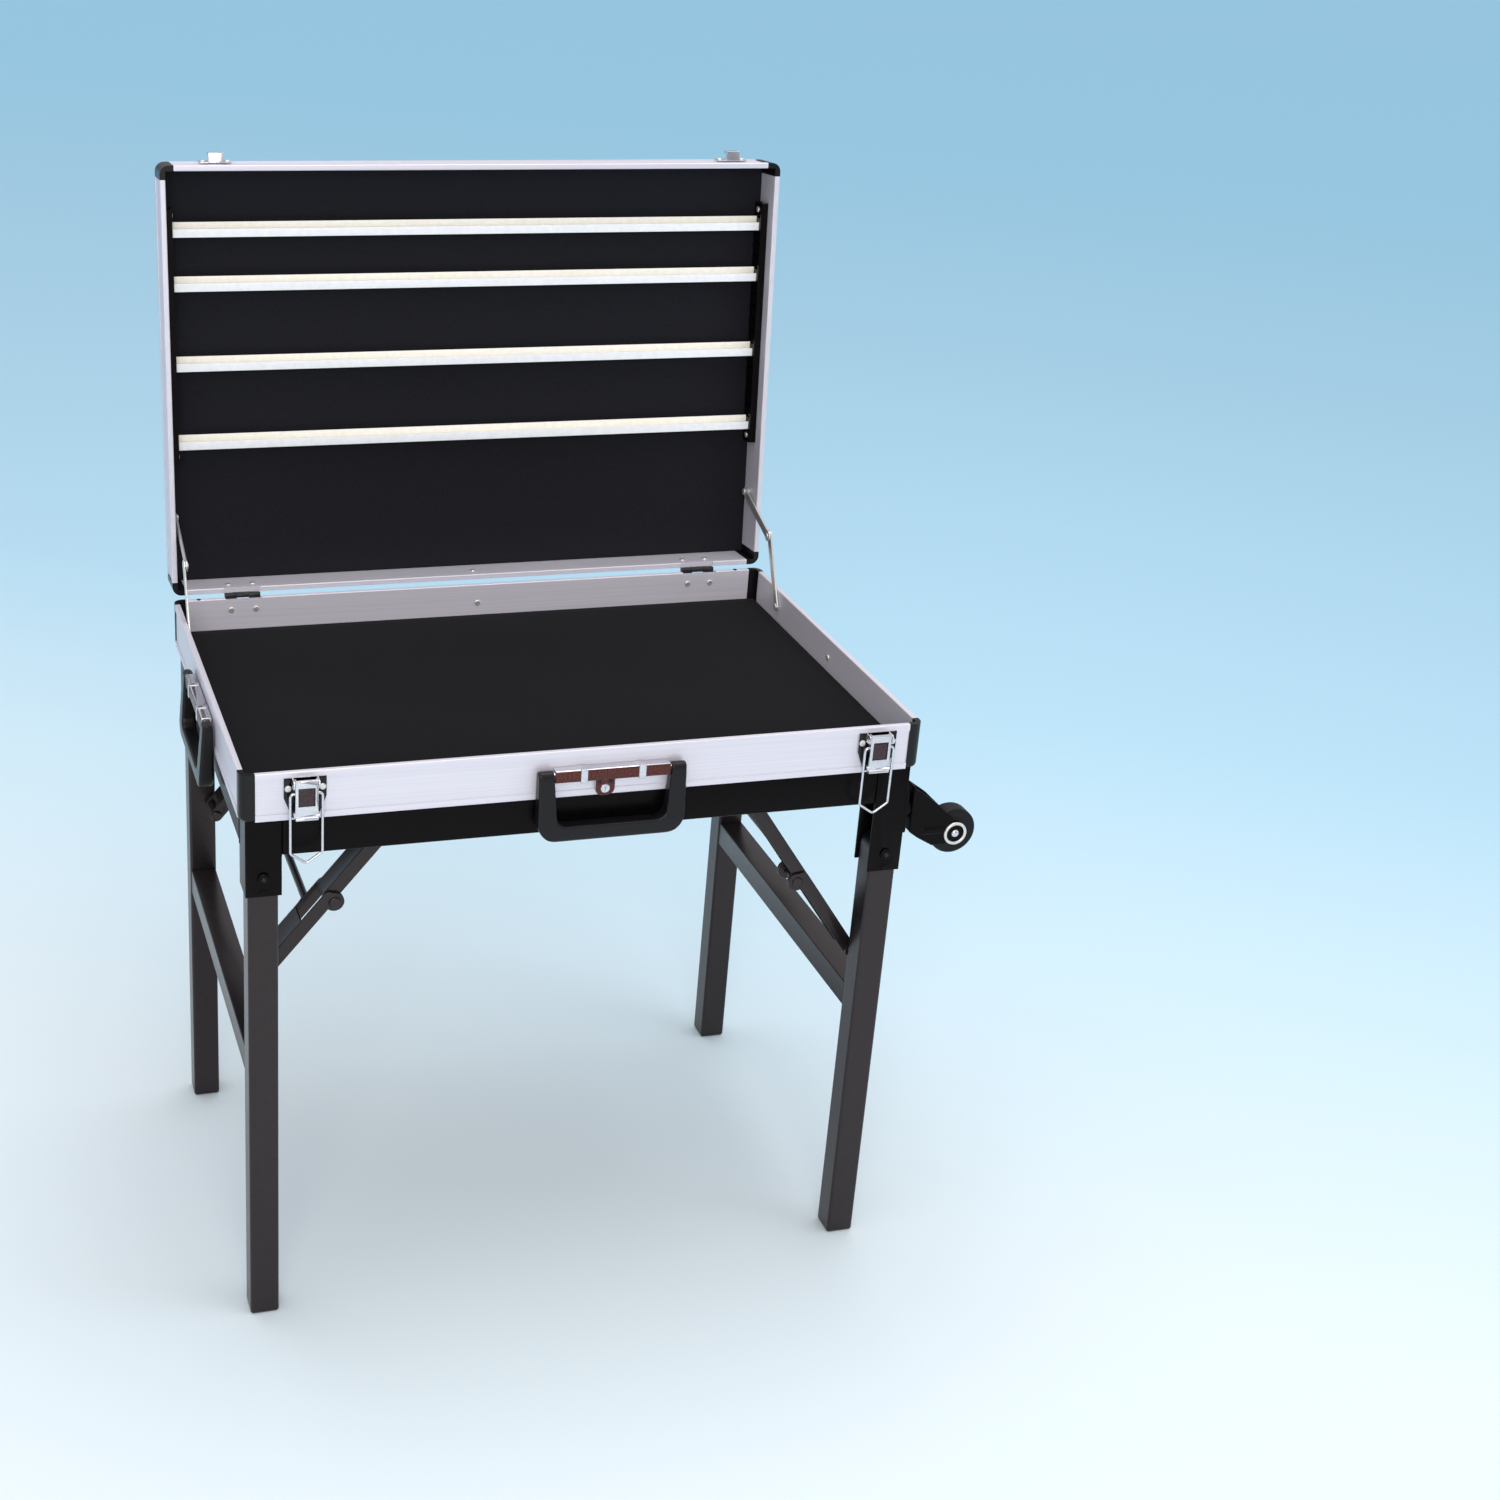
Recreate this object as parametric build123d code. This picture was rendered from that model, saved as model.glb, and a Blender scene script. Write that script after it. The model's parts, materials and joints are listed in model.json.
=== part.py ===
from build123d import *
import math
import os

# A jewelry display case that stands on its own folding legs. Sizes are in millimetres.
# +X points to the right of someone facing the open case, +Y to the hinges, +Z up.
# The origin is on the floor, in the middle of the four legs.

# Case
case_width = 700.0
case_depth = 470.0
rim_height = 630.0
tray_wall_height = 50.0
lid_wall_height = 46.0
wall_thickness = 6.0
lip_height = 7.0
groove_depth = 1.0
rim_rounding = 1.2
corner_leg = 15.0
corner_radius = 10.0
corner_end_rounding = 5.0
board_thickness = 4.0
pad_thickness = 10.0
lining_thickness = 2.0
lining_gap = 0.3

# Lid hinges
lid_open_angle = 94.5
rim_gap = 0.6
hinge_offset = 3.0
hinge_pin_radius = 1.6
knuckle_radius = 2.9
hinge_width = 40.0
leaf_height = 30.0
leaf_thickness = 1.2
hinge_inset = 78.0
hinge_rivet_spacing = 28.0
hinge_rivet_drop = 13.5
notch_depth = 2.6

# Running clearances
running_fit = 0.05
seat_gap = 0.3

# Rivets
rivet_radius = 1.6
rivet_head_radius = 3.4
rivet_head_height = 1.4
head_rounding = 0.85
lid_rivet_setback = 16.0
side_rivet_sink = 4.0

# Card bars and the slotted uprights that carry them
slot_pitch = 29.0
upright_width = 20.0
upright_projection = 8.0
upright_sheet = 1.5
upright_setback = 16.0
upright_top_inset = 44.0
upright_length = 278.0
upright_slot = 3.0
upright_slot_height = 14.0
upright_rivet_inset = 7.5
top_bar_inset = 67.0
bar_pitches_down = (8, 5, 2, 0)
bar_back_height = 15.4
bar_front_height = 9.0
bar_depth = 10.0
bar_sheet = 1.5
bar_setback = 21.0

# Lid stays
stay_lid_height = 85.0
stay_lid_setback = 30.0
stay_tray_reach = 84.0
stay_tray_drop = 19.3
stay_upper_length = 86.0
stay_lower_length = 84.0
stay_width = 10.0
stay_thickness = 2.0
stay_wall_gap = 0.5
stay_pin_radius = 2.5
stay_shoulder = 1.0
stay_head_radius = 4.0
stay_elbow_radius = 6.5

# Draw latches
latch_inset = 56.5
latch_shift = 6.0
latch_plate_width = 41.0
latch_plate_tip = 25.0
latch_plate_height = 42.0
latch_plate_shoulder = 21.0
latch_plate_drop = 5.0
latch_plate_sheet = 1.5
latch_rivet_spacing = 33.0
latch_rivet_drop = 16.0
lever_pivot_drop = 10.0
lever_pivot_stand = 8.0
lever_width = 22.0
lever_reach = 36.5
lever_rise = 5.0
cheek_depth = 3.2
cheek_foot = 4.0
lever_sheet = 3.0
lip_width = 26.0
lip_flare_height = 7.0
lip_rounding = 3.0
lip_roll = 2.0
window_width = 16.0
window_height = 19.0
window_drop = 3.0
lever_pin_radius = 1.5
ear_radius = 4.5
ear_sheet = 1.5
bail_pivot_arm = 9.0
bail_width = 31.0
bail_straight = 63.0
bail_point = 11.0
bail_wire_radius = 1.3
catch_width = 34.0
catch_setback = 20.0
catch_height = 16.0
catch_hook_width = 16.0
catch_hook_reach = 11.0
catch_lip_height = 9.6
catch_rivet_margin = 0.6
catch_sheet = 1.5

# Handles
handle_offset = 16.0
handle_drop = 23.0
handle_stand = 6.3
base_gap = 1.0
base_height = 13.0
base_depth = 11.0
base_rounding = 2.0
strap_width = 7.0
strap_proud = 0.8
strap_spacing = 60.0
grip_width = 152.0
grip_arm = 16.0
grip_arm_depth = 11.6
grip_bar_depth = 15.6
grip_bar_rounding = 5.0
grip_height = 17.0
grip_drop = 69.0
grip_corner = 22.0
grip_inner_corner = 11.0
grip_taper = 4.0
handle_pin_radius = 4.0
handle_pin_length = 12.0
grip_pin_hole = 12.6

# Lock under the front handle
lock_offset = 10.0
lock_width = 20.0
lock_height = 19.0
lock_depth = 5.0
lock_foot = 1.5
lock_rounding = 7.0
plug_radius = 4.5
plug_rise = 7.5
plug_proud = 1.0
plug_length = 4.7
key_slot_width = 1.2
key_slot_height = 5.0
key_slot_depth = 2.0

# Frame under the tray
rail_inset = 6.0
rail_height = 40.0
rail_width = 20.0
tube_wall = 1.5
cross_rail_offset = 100.0

# Legs
leg_size = 30.0
leg_rounding = 3.0
bracket_sheet = 2.2
bracket_lap = 3.0
left_pivot_drop = 113.0
stack_gap = 6.5
bracket_reach = 20.0
leg_bolt_radius = 4.0
bolt_head_radius = 6.0
bolt_head_height = 3.0
dimple_radius = 3.5
dimple_height = 1.2
dimple_rise = 4.5
foot_height = 10.0
foot_plug = 15.0
foot_rounding = 3.5
plug_gap = 0.2

# Crossbars
crossbar_size = 28.0
crossbar_drop = 335.0

# Folding braces: two channel links that lap at a knuckle below their common line.
# A pivot is given as how far out from the middle and how far down from the rim it is.
left_brace_top = (177.5, 70.0)
left_brace_foot = (316.0, 234.8)
left_brace_knuckle = 120.0
right_brace_top = (174.0, 75.0)
right_brace_foot = (316.0, 282.4)
right_brace_knuckle = 140.0
brace_inner_face = 158.0
brace_outer_face = 192.0
brace_sheet = 2.5
brace_lap_gap = 0.5
brace_depth = 14.0
knuckle_offset = 7.0
brace_lug_radius = 10.0
upper_web_start = 8.0
lower_web_start = 36.0
lower_web_stop = 13.0
brace_pin_radius = 4.0
brace_collar_radius = 6.5
brace_head_radius = 6.0
brace_head_height = 2.0
tie_rod_radius = 4.0
tie_rod_along = 24.0
tie_rod_out = 3.0

# Castors on the right brackets
castor_plate_width = 34.0
castor_plate_height = 50.0
castor_plate_sheet = 3.0
castor_plate_rounding = 3.0
castor_swivel_drop = 103.0
swivel_boss_radius = 13.0
swivel_boss_length = 6.0
king_pin_radius = 4.0
king_pin_head_radius = 7.0
king_pin_head_height = 2.0
castor_reach = 62.0
castor_trail = 31.5
wheel_radius = 25.6
wheel_width = 20.0
tyre_rounding = 3.0
hub_radius = 15.5
hub_proud = 0.8
axle_radius = 3.0
fork_sheet = 2.5
fork_gap = 1.5
fork_head_half = 26.0
fork_shoulder = (26.5, 38.5)
fork_heel = (25.0, 12.5)
fork_throat = (42.0, 2.5)
fork_boss_radius = 13.0
fork_ring_radius = 9.5
fork_ring_proud = 1.2
fork_rib_width = 6.0
fork_rib_rise = 5.0
axle_end = 1.5

# Places that follow from the sizes above
half_width = case_width / 2
half_depth = case_depth / 2
tray_bottom = rim_height - tray_wall_height
rail_bottom = tray_bottom - rail_height
inner_half_width = half_width - wall_thickness
inner_half_depth = half_depth - wall_thickness
frame_half_width = half_width - rail_inset
frame_half_depth = half_depth - rail_inset
hinge_y = half_depth + hinge_offset
hinge_z = rim_height + rim_gap / 2
lid_rim = rim_height + rim_gap
lid_top = lid_rim + lid_wall_height
leg_offset = bracket_sheet + seat_gap + leg_size / 2
leg_x = frame_half_width - leg_offset
leg_y = frame_half_depth - leg_offset
bracket_span = leg_size + 2 * seat_gap + 2 * bracket_sheet
bracket_length = bracket_sheet + seat_gap + leg_size + bracket_lap
right_pivot_drop = left_pivot_drop + leg_size + stack_gap
tray_pad_top = tray_bottom + board_thickness + pad_thickness
hinge_centre = half_width - hinge_inset
latch_places = (latch_shift - half_width + latch_inset, latch_shift + half_width - latch_inset)
upright_top = case_depth - upright_top_inset
upright_bottom = upright_top - upright_length
bar_levels = [case_depth - top_bar_inset - pitches * slot_pitch for pitches in bar_pitches_down]
upper_inset = brace_sheet + brace_lap_gap
base_length = grip_width - 2 * (grip_arm + base_gap)

HINGE_AXIS = Axis((0, hinge_y, hinge_z), (1, 0, 0))


def block(x0, x1, y0, y1, z0, z1):
    """A box between two opposite corners."""
    size = (abs(x1 - x0), abs(y1 - y0), abs(z1 - z0))
    return Pos((x0 + x1) / 2, (y0 + y1) / 2, (z0 + z1) / 2) * Box(*size)


def rod(axis, x, y, z, length, radius):
    """A cylinder that starts at a point and runs along X, Y or Z; a negative length runs back."""
    turn = {"X": Rot(0, 90, 0), "Y": Rot(-90, 0, 0), "Z": Rot(0, 0, 0)}[axis]
    step = {"X": (length / 2, 0, 0), "Y": (0, length / 2, 0), "Z": (0, 0, length / 2)}[axis]
    return Pos(x + step[0], y + step[1], z + step[2]) * turn * Cylinder(radius, abs(length))


def tube_box(x0, x1, y0, y1, z0, z1, along):
    """A rectangular tube, open at both ends."""
    w = tube_wall
    cut = {"X": (0, w, w), "Y": (w, 0, w), "Z": (w, w, 0)}[along]
    inner = block(x0 + cut[0], x1 - cut[0], y0 + cut[1], y1 - cut[1], z0 + cut[2], z1 - cut[2])
    return block(x0, x1, y0, y1, z0, z1) - inner


def plate_xz(points, y0, y1):
    """A flat plate with an outline in X and Z."""
    face = Plane.XZ * make_face(Polyline(*points, close=True).edges())
    return Pos(0, y0, 0) * extrude(face, amount=-(y1 - y0))


def bar_xz(start, end, width, y0, y1):
    """A flat bar with round ends between two points in X and Z."""
    (x0, z0), (x1, z1) = start, end
    length = math.hypot(x1 - x0, z1 - z0)
    angle = math.degrees(math.atan2(z1 - z0, x1 - x0))
    face = Plane.XZ * Pos((x0 + x1) / 2, (z0 + z1) / 2) * Rot(0, 0, angle) * SlotCenterToCenter(length, width)
    return Pos(0, y0, 0) * extrude(face, amount=-(y1 - y0))


def bar_yz(start, end, width, x0, x1):
    """A flat bar with round ends between two points in Y and Z."""
    (y0, z0), (y1, z1) = start, end
    length = math.hypot(y1 - y0, z1 - z0)
    angle = math.degrees(math.atan2(z1 - z0, y1 - y0))
    face = Plane.YZ * Pos((y0 + y1) / 2, (z0 + z1) / 2) * Rot(0, 0, angle) * SlotCenterToCenter(length, width)
    return Pos(x0, 0, 0) * extrude(face, amount=x1 - x0)


def open_lid(shape):
    """Turns a shape modelled on the closed lid to where it is with the lid open."""
    return shape.rotate(HINGE_AXIS, -lid_open_angle)


def on_lid(height, setback):
    """Where a point of the closed lid, above the hinge and behind the rim, is in Y and Z."""
    return hinge_y - height, lid_rim + setback


def turned(point, centre, degrees):
    """A point in a plane, turned anticlockwise about a centre."""
    a = math.radians(degrees)
    u, v = point[0] - centre[0], point[1] - centre[1]
    return (
        centre[0] + u * math.cos(a) - v * math.sin(a),
        centre[1] + u * math.sin(a) + v * math.cos(a),
    )


def meet(a, b, from_a, from_b, side):
    """The point at two distances from a and b, on the left of the line from a to b when side is 1."""
    d = math.dist(a, b)
    along = (from_a**2 - from_b**2 + d**2) / (2 * d)
    off = math.sqrt(max(from_a**2 - along**2, 0.0)) * side
    u = ((b[0] - a[0]) / d, (b[1] - a[1]) / d)
    return a[0] + u[0] * along - u[1] * off, a[1] + u[1] * along + u[0] * off


def domed_head(axis, x, y, z, height, radius):
    """A round head that stands out from a point along X, Y or Z, with its outer edge rounded."""
    head = rod(axis, x, y, z, height, radius)
    ends = head.edges().filter_by(GeomType.CIRCLE).sort_by({"X": Axis.X, "Y": Axis.Y, "Z": Axis.Z}[axis])
    outer = ends[-1] if height > 0 else ends[0]
    return fillet(outer, abs(height) * head_rounding)


def rivet(x, y, z, inward, grip):
    """A rivet whose shank runs inward through grip of material, with a domed head outside."""
    axis = "X" if inward[0] else ("Y" if inward[1] else "Z")
    sign = sum(inward)
    shank = rod(axis, x, y, z, sign * grip, rivet_radius)
    return shank + domed_head(axis, x, y, z, -sign * rivet_head_height, rivet_head_radius)


def rivet_hole(x, y, z, inward, grip):
    """The hole that a rivet's shank fills."""
    axis = "X" if inward[0] else ("Y" if inward[1] else "Z")
    return rod(axis, x, y, z, sum(inward) * grip, rivet_radius + running_fit)


def wall(length, height):
    """An extruded wall along X with its grooved outer face at y = 0 and its foot at z = 0."""
    section = Pos(wall_thickness / 2, height / 2) * Rectangle(wall_thickness, height)
    section -= Pos(groove_depth / 2, height / 2) * Rectangle(groove_depth, height - 2 * lip_height)
    ends = [v for v in section.vertices() if abs(v.Y) < 0.01 or abs(v.Y - height) < 0.01]
    section = fillet(ends, rim_rounding)
    return Pos(-length / 2, 0, 0) * extrude(Plane.YZ * section, amount=length)


def four_walls(height, foot):
    """Front, rear, left and right walls between the corner posts."""
    along_x = wall(case_width - 2 * corner_leg, height)
    along_y = wall(case_depth - 2 * corner_leg, height)
    return {
        "front": Pos(0, -half_depth, foot) * along_x,
        "rear": Pos(0, half_depth, foot) * Rot(0, 0, 180) * along_x,
        "left": Pos(-half_width, 0, foot) * Rot(0, 0, -90) * along_y,
        "right": Pos(half_width, 0, foot) * Rot(0, 0, 90) * along_y,
    }


def corner_posts(height, foot, closed_end):
    """Four moulded posts with round outer corners and a round closed end; the walls butt against them."""
    centre = corner_leg / 2
    section = Pos(centre, centre) * Rectangle(corner_leg, corner_leg)
    section = fillet([v for v in section.vertices() if v.X < 0.01 and v.Y < 0.01], corner_radius)
    room = corner_leg - wall_thickness
    section -= Pos(wall_thickness + room / 2, wall_thickness + room / 2) * Rectangle(room, room)
    post = extrude(section, amount=height)
    end = post.edges().group_by(Axis.Z)[closed_end]
    post = fillet([e for e in end if min(e.center().X, e.center().Y) < wall_thickness / 2], corner_end_rounding)
    places = ((-1, -1, 0), (1, -1, 90), (1, 1, 180), (-1, 1, 270))
    return [Pos(sx * half_width, sy * half_depth, foot) * Rot(0, 0, a) * post for sx, sy, a in places]


def lining(thickness, foot, gap):
    """A flat sheet that fits between the walls."""
    w, d = inner_half_width - gap, inner_half_depth - gap
    return block(-w, w, -d, d, foot, foot + thickness)


def hinge_rivet_columns():
    return [side * hinge_centre + step * hinge_rivet_spacing / 2 for side in (-1, 1) for step in (-1, 1)]


def hinge_notch(sign):
    """The room for the two knuckles in a rear wall's rim; sign is 1 for the lid and -1 for the tray."""
    rim = rim_height if sign < 0 else lid_rim
    half = hinge_width / 2 + seat_gap
    return [
        block(side * hinge_centre - half, side * hinge_centre + half,
              inner_half_depth - 1, half_depth + 1, rim, rim + sign * notch_depth)
        for side in (-1, 1)
    ]


def hinge_leaves(sign):
    """Two hinge leaves on the outside of a rear wall, with their share of the knuckles."""
    third = hinge_width / 3
    rim = rim_height if sign < 0 else lid_rim
    outer = half_depth + leaf_thickness
    leaves = []
    for side in (-1, 1):
        x = side * hinge_centre
        leaf = block(x - hinge_width / 2, x + hinge_width / 2, half_depth, outer, rim, rim + sign * leaf_height)
        room = block(x - hinge_width, x + hinge_width, half_depth - 1, hinge_y + knuckle_radius,
                     hinge_z - knuckle_radius - seat_gap, hinge_z + knuckle_radius + seat_gap)
        leaf -= room
        spans = ((-third / 2 + seat_gap / 2, third / 2 - seat_gap / 2),)
        if sign < 0:
            spans = ((-hinge_width / 2, -third / 2 - seat_gap / 2), (third / 2 + seat_gap / 2, hinge_width / 2))
        for start, end in spans:
            barrel = rod("X", x + start, hinge_y, hinge_z, end - start, knuckle_radius)
            strap = block(x + start, x + end, hinge_y - knuckle_radius, hinge_y - knuckle_radius + leaf_thickness,
                          hinge_z, hinge_z + sign * (knuckle_radius + 2 * seat_gap + leaf_thickness))
            leaf += barrel + strap
        leaf -= rod("X", x - hinge_width, hinge_y, hinge_z, 2 * hinge_width, hinge_pin_radius + running_fit)
        leaves.append(leaf)
    return leaves


def hinge_pins():
    return [
        rod("X", side * hinge_centre - hinge_width / 2, hinge_y, hinge_z, hinge_width, hinge_pin_radius)
        for side in (-1, 1)
    ]


def hinge_rivet_spots(sign):
    rim = rim_height if sign < 0 else lid_rim
    return [(x, inner_half_depth, rim + sign * hinge_rivet_drop) for x in hinge_rivet_columns()]


def side_rivet_spots():
    """Rivets in the middle of the tray's rear and side walls, seen from inside."""
    middle = (tray_pad_top + rim_height) / 2 - side_rivet_sink
    return [
        ((0, inner_half_depth, middle), (0, 1, 0)),
        ((inner_half_width, 0, middle), (1, 0, 0)),
        ((-inner_half_width, 0, middle), (-1, 0, 0)),
    ]


def lid_rivet_spot():
    """The rivet in the middle of the lid's rear wall, with the lid closed."""
    return 0, inner_half_depth, lid_rim + lid_rivet_setback


def upright_levels():
    return upright_bottom + upright_rivet_inset, upright_top - upright_rivet_inset


def uprights():
    """The two slotted channels on the lid's side walls."""
    result = []
    for side in (-1, 1):
        outer = side * inner_half_width
        web = side * (inner_half_width - upright_projection)
        y_low, z_front = on_lid(upright_bottom, upright_setback)
        y_high, z_back = on_lid(upright_top, upright_setback + upright_width)
        channel = block(web, outer, y_high, y_low, z_front, z_back)
        channel -= block(web + side * upright_sheet, outer, y_high - 1, y_low + 1,
                         z_front + upright_sheet, z_back - upright_sheet)
        count = int((bar_levels[-1] - upright_bottom - 2 * upright_rivet_inset) / slot_pitch * 2)
        for i in range(count + 1):
            level = bar_levels[-1] + slot_pitch / 4 - slot_pitch / 2 * i
            y, z = on_lid(level, upright_setback + upright_width / 2)
            channel -= block(web, web + side * upright_sheet, y - upright_slot / 2, y + upright_slot / 2,
                             z - upright_slot_height / 2, z + upright_slot_height / 2)
        for level in upright_levels():
            y, z = on_lid(level, upright_setback + upright_width / 2)
            channel -= rod("X", web - side, y, z, side * (upright_sheet + 2), rivet_radius + running_fit)
        result.append(channel)
    return result


def card_bar(level):
    """A bar with a tall back, a low front lip and an open slot between them for earring cards."""
    half = inner_half_width - upright_projection
    y_low, z_front = on_lid(level - bar_back_height / 2, bar_setback)
    y_back, z_back = on_lid(level + bar_back_height / 2, bar_setback + bar_depth)
    y_front, _ = on_lid(level - bar_back_height / 2 + bar_front_height, 0)
    floor = block(-half, half, y_low - bar_sheet, y_low, z_front, z_back)
    front = block(-half, half, y_front, y_low, z_front, z_front + bar_sheet)
    back = block(-half, half, y_back, y_low, z_back - bar_sheet, z_back)
    return floor + front + back


def stay_geometry():
    """A lid stay's pivots in Y and Z: on the open lid, on the closed lid, on the tray, and its elbow with the lid open."""
    lid_closed = on_lid(stay_lid_height, stay_lid_setback)
    lid_open = turned(lid_closed, (hinge_y, hinge_z), -lid_open_angle)
    tray = (half_depth - stay_tray_reach + hinge_offset, rim_height - stay_tray_drop)
    elbow = meet(tray, lid_open, stay_lower_length, stay_upper_length, 1)
    return lid_open, lid_closed, tray, elbow


def lid_stay(side):
    """The upper and lower links of a lid stay, as they stand with the lid open."""
    lid_open, _, tray, elbow = stay_geometry()
    outer = inner_half_width - stay_wall_gap
    middle = outer - stay_thickness
    inner = middle - seat_gap
    lower = bar_yz(tray, elbow, stay_width, side * middle, side * outer)
    lower += rod("X", side * middle, *elbow, side * stay_thickness, stay_elbow_radius)
    lower -= rod("X", side * (middle - 1), *tray, side * (stay_thickness + 2), stay_pin_radius + running_fit)
    upper = bar_yz(lid_open, elbow, stay_width, side * (inner - stay_thickness), side * inner)
    upper += rod("X", side * inner, *elbow, -side * stay_thickness, stay_elbow_radius)
    upper += domed_head("X", side * (inner - stay_thickness), *elbow, -side * rivet_head_height, rivet_head_radius)
    upper -= rod("X", side * (inner + 1), *lid_open, -side * (stay_thickness + 2), stay_pin_radius + running_fit)
    return upper, lower


def stay_pin(side, spot, reach):
    """A shouldered pin that stands inward from a side wall and ends in a head."""
    wall_face = side * inner_half_width
    shoulder_reach = reach - stay_thickness - seat_gap
    shoulder = rod("X", wall_face, *spot, -side * shoulder_reach, stay_pin_radius + stay_shoulder)
    shank = rod("X", wall_face, *spot, -side * (reach + seat_gap), stay_pin_radius)
    head_x = wall_face - side * (reach + seat_gap)
    return shoulder + shank + domed_head("X", head_x, *spot, -side * rivet_head_height, stay_head_radius)


def stay_pins_on_tray():
    tray = stay_geometry()[2]
    return [stay_pin(side, tray, stay_wall_gap + stay_thickness) for side in (-1, 1)]


def stay_pins_on_lid():
    lid_closed = stay_geometry()[1]
    reach = stay_wall_gap + 2 * stay_thickness + seat_gap
    return [stay_pin(side, lid_closed, reach) for side in (-1, 1)]


def latch_base(x):
    """A tapered plate on the front wall with two ears that carry the lever."""
    top = rim_height - latch_plate_drop
    bottom = top - latch_plate_height
    y = -half_depth
    w, t = latch_plate_width / 2, latch_plate_tip / 2
    shoulder = bottom + latch_plate_shoulder
    outline = [(x - w, top), (x + w, top), (x + w, shoulder), (x + t, bottom), (x - t, bottom), (x - w, shoulder)]
    plate = plate_xz(outline, y - latch_plate_sheet, y)
    z = rim_height - lever_pivot_drop
    pivot_y = y - lever_pivot_stand
    for side in (-1, 1):
        inner = x + side * (lever_width / 2 + seat_gap)
        ear = block(inner, inner + side * ear_sheet, pivot_y, y - latch_plate_sheet, z - ear_radius, z + ear_radius)
        ear += rod("X", inner, pivot_y, z, side * ear_sheet, ear_radius)
        plate += ear
    reach = lever_width / 2 + seat_gap + ear_sheet
    plate -= rod("X", x - reach - 1, pivot_y, z, 2 * reach + 2, lever_pin_radius + running_fit)
    for spot in latch_rivet_spots(x):
        plate -= rivet_hole(*spot, (0, 1, 0), latch_plate_sheet + 1)
    return plate


def latch_rivet_spots(x):
    z = rim_height - latch_rivet_drop
    y = -half_depth - latch_plate_sheet
    return [(x + side * latch_rivet_spacing / 2, y, z) for side in (-1, 1)]


def latch_lever(x):
    """The lever with its thumb lip, side cheeks and pivot pin."""
    y = -half_depth - lever_pivot_stand
    z = rim_height - lever_pivot_drop
    half = lever_width / 2
    lip = lip_width / 2
    face_y = y - lever_sheet
    tip = z - lever_reach
    flare = tip + lip_flare_height
    outline = [(x - half, z + lever_rise), (x + half, z + lever_rise), (x + half, flare + lip - half),
               (x + lip, flare), (x + half, tip), (x - half, tip), (x - lip, flare), (x - half, flare + lip - half)]
    cover = plate_xz(outline, face_y, face_y + lever_sheet)
    cover = fillet(cover.edges().filter_by(Axis.Y).group_by(Axis.Z)[0], lip_rounding)
    cover += rod("X", x - half, face_y, tip + lip_roll, lever_width, lip_roll)
    window_top = z - window_drop
    cover -= block(x - window_width / 2, x + window_width / 2, face_y - 1, y, window_top - window_height, window_top)
    for side in (-1, 1):
        edge = x + side * half
        foot_z = z - bail_pivot_arm - cheek_foot
        cover += block(edge, edge - side * ear_sheet, face_y, y + cheek_depth, foot_z, z + lever_rise)
    cover += rod("X", x - half - seat_gap - ear_sheet, y, z, 2 * (half + seat_gap + ear_sheet), lever_pin_radius)
    hole = rod("X", x - half - 1, y, z - bail_pivot_arm, lever_width + 2, bail_wire_radius + running_fit)
    return cover - hole


def latch_bail(x):
    """The wire bail that hangs from the lever's cheeks and ends in a blunt point."""
    y = -half_depth - lever_pivot_stand
    z = rim_height - lever_pivot_drop - bail_pivot_arm
    half = bail_width / 2
    end = lever_width / 2 - ear_sheet
    points = [
        (x - end, y, z), (x - half, y, z), (x - half, y, z - bail_straight), (x, y, z - bail_straight - bail_point),
        (x + half, y, z - bail_straight), (x + half, y, z), (x + end, y, z),
    ]
    path = FilletPolyline(*points, radius=3 * bail_wire_radius)
    start = Plane(origin=points[0], z_dir=(-1, 0, 0))
    return sweep(start * Circle(bail_wire_radius), path=path)


def latch_catch(x):
    """The hooked plate on the lid's front wall, with the lid closed."""
    z0 = lid_rim + catch_setback
    y = -half_depth
    plate = block(x - catch_width / 2, x + catch_width / 2, y - catch_sheet, y, z0, z0 + catch_height)
    hook = catch_hook_width / 2
    tip = y - catch_hook_reach
    web = block(x - hook, x + hook, tip, y, z0, z0 + 2 * catch_sheet)
    lip = block(x - hook, x + hook, tip, tip + 2 * catch_sheet, z0, z0 + catch_lip_height)
    catch = plate + web + lip
    for spot in catch_rivet_spots(x):
        catch -= rivet_hole(*spot, (0, 1, 0), catch_sheet + 1)
    return catch


def catch_rivet_spots(x):
    z = lid_rim + catch_setback + catch_height / 2
    y = -half_depth - catch_sheet
    return [(x + side * (catch_width / 2 - rivet_head_radius - catch_rivet_margin), y, z) for side in (-1, 1)]


def handle_base():
    """The plated bar of a handle against a wall at y = 0, centred on x = 0 and z = 0."""
    half = base_length / 2
    y = -handle_stand
    bar = block(-half, half, -base_depth, 0, -base_height / 2, base_height / 2)
    long_edges = [e for e in bar.edges().filter_by(Axis.X) if e.center().Y < -base_depth + 0.01]
    bar = fillet(long_edges, base_rounding)
    for side in (-1, 1):
        x = side * strap_spacing / 2
        strap = block(x - strap_width / 2, x + strap_width / 2, -base_depth - strap_proud, 0,
                      -base_height / 2 - strap_proud, base_height / 2 + strap_proud)
        bar += strap
        bar += rod("X", side * half, y, 0, side * (seat_gap + handle_pin_length), handle_pin_radius)
    return bar


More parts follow.
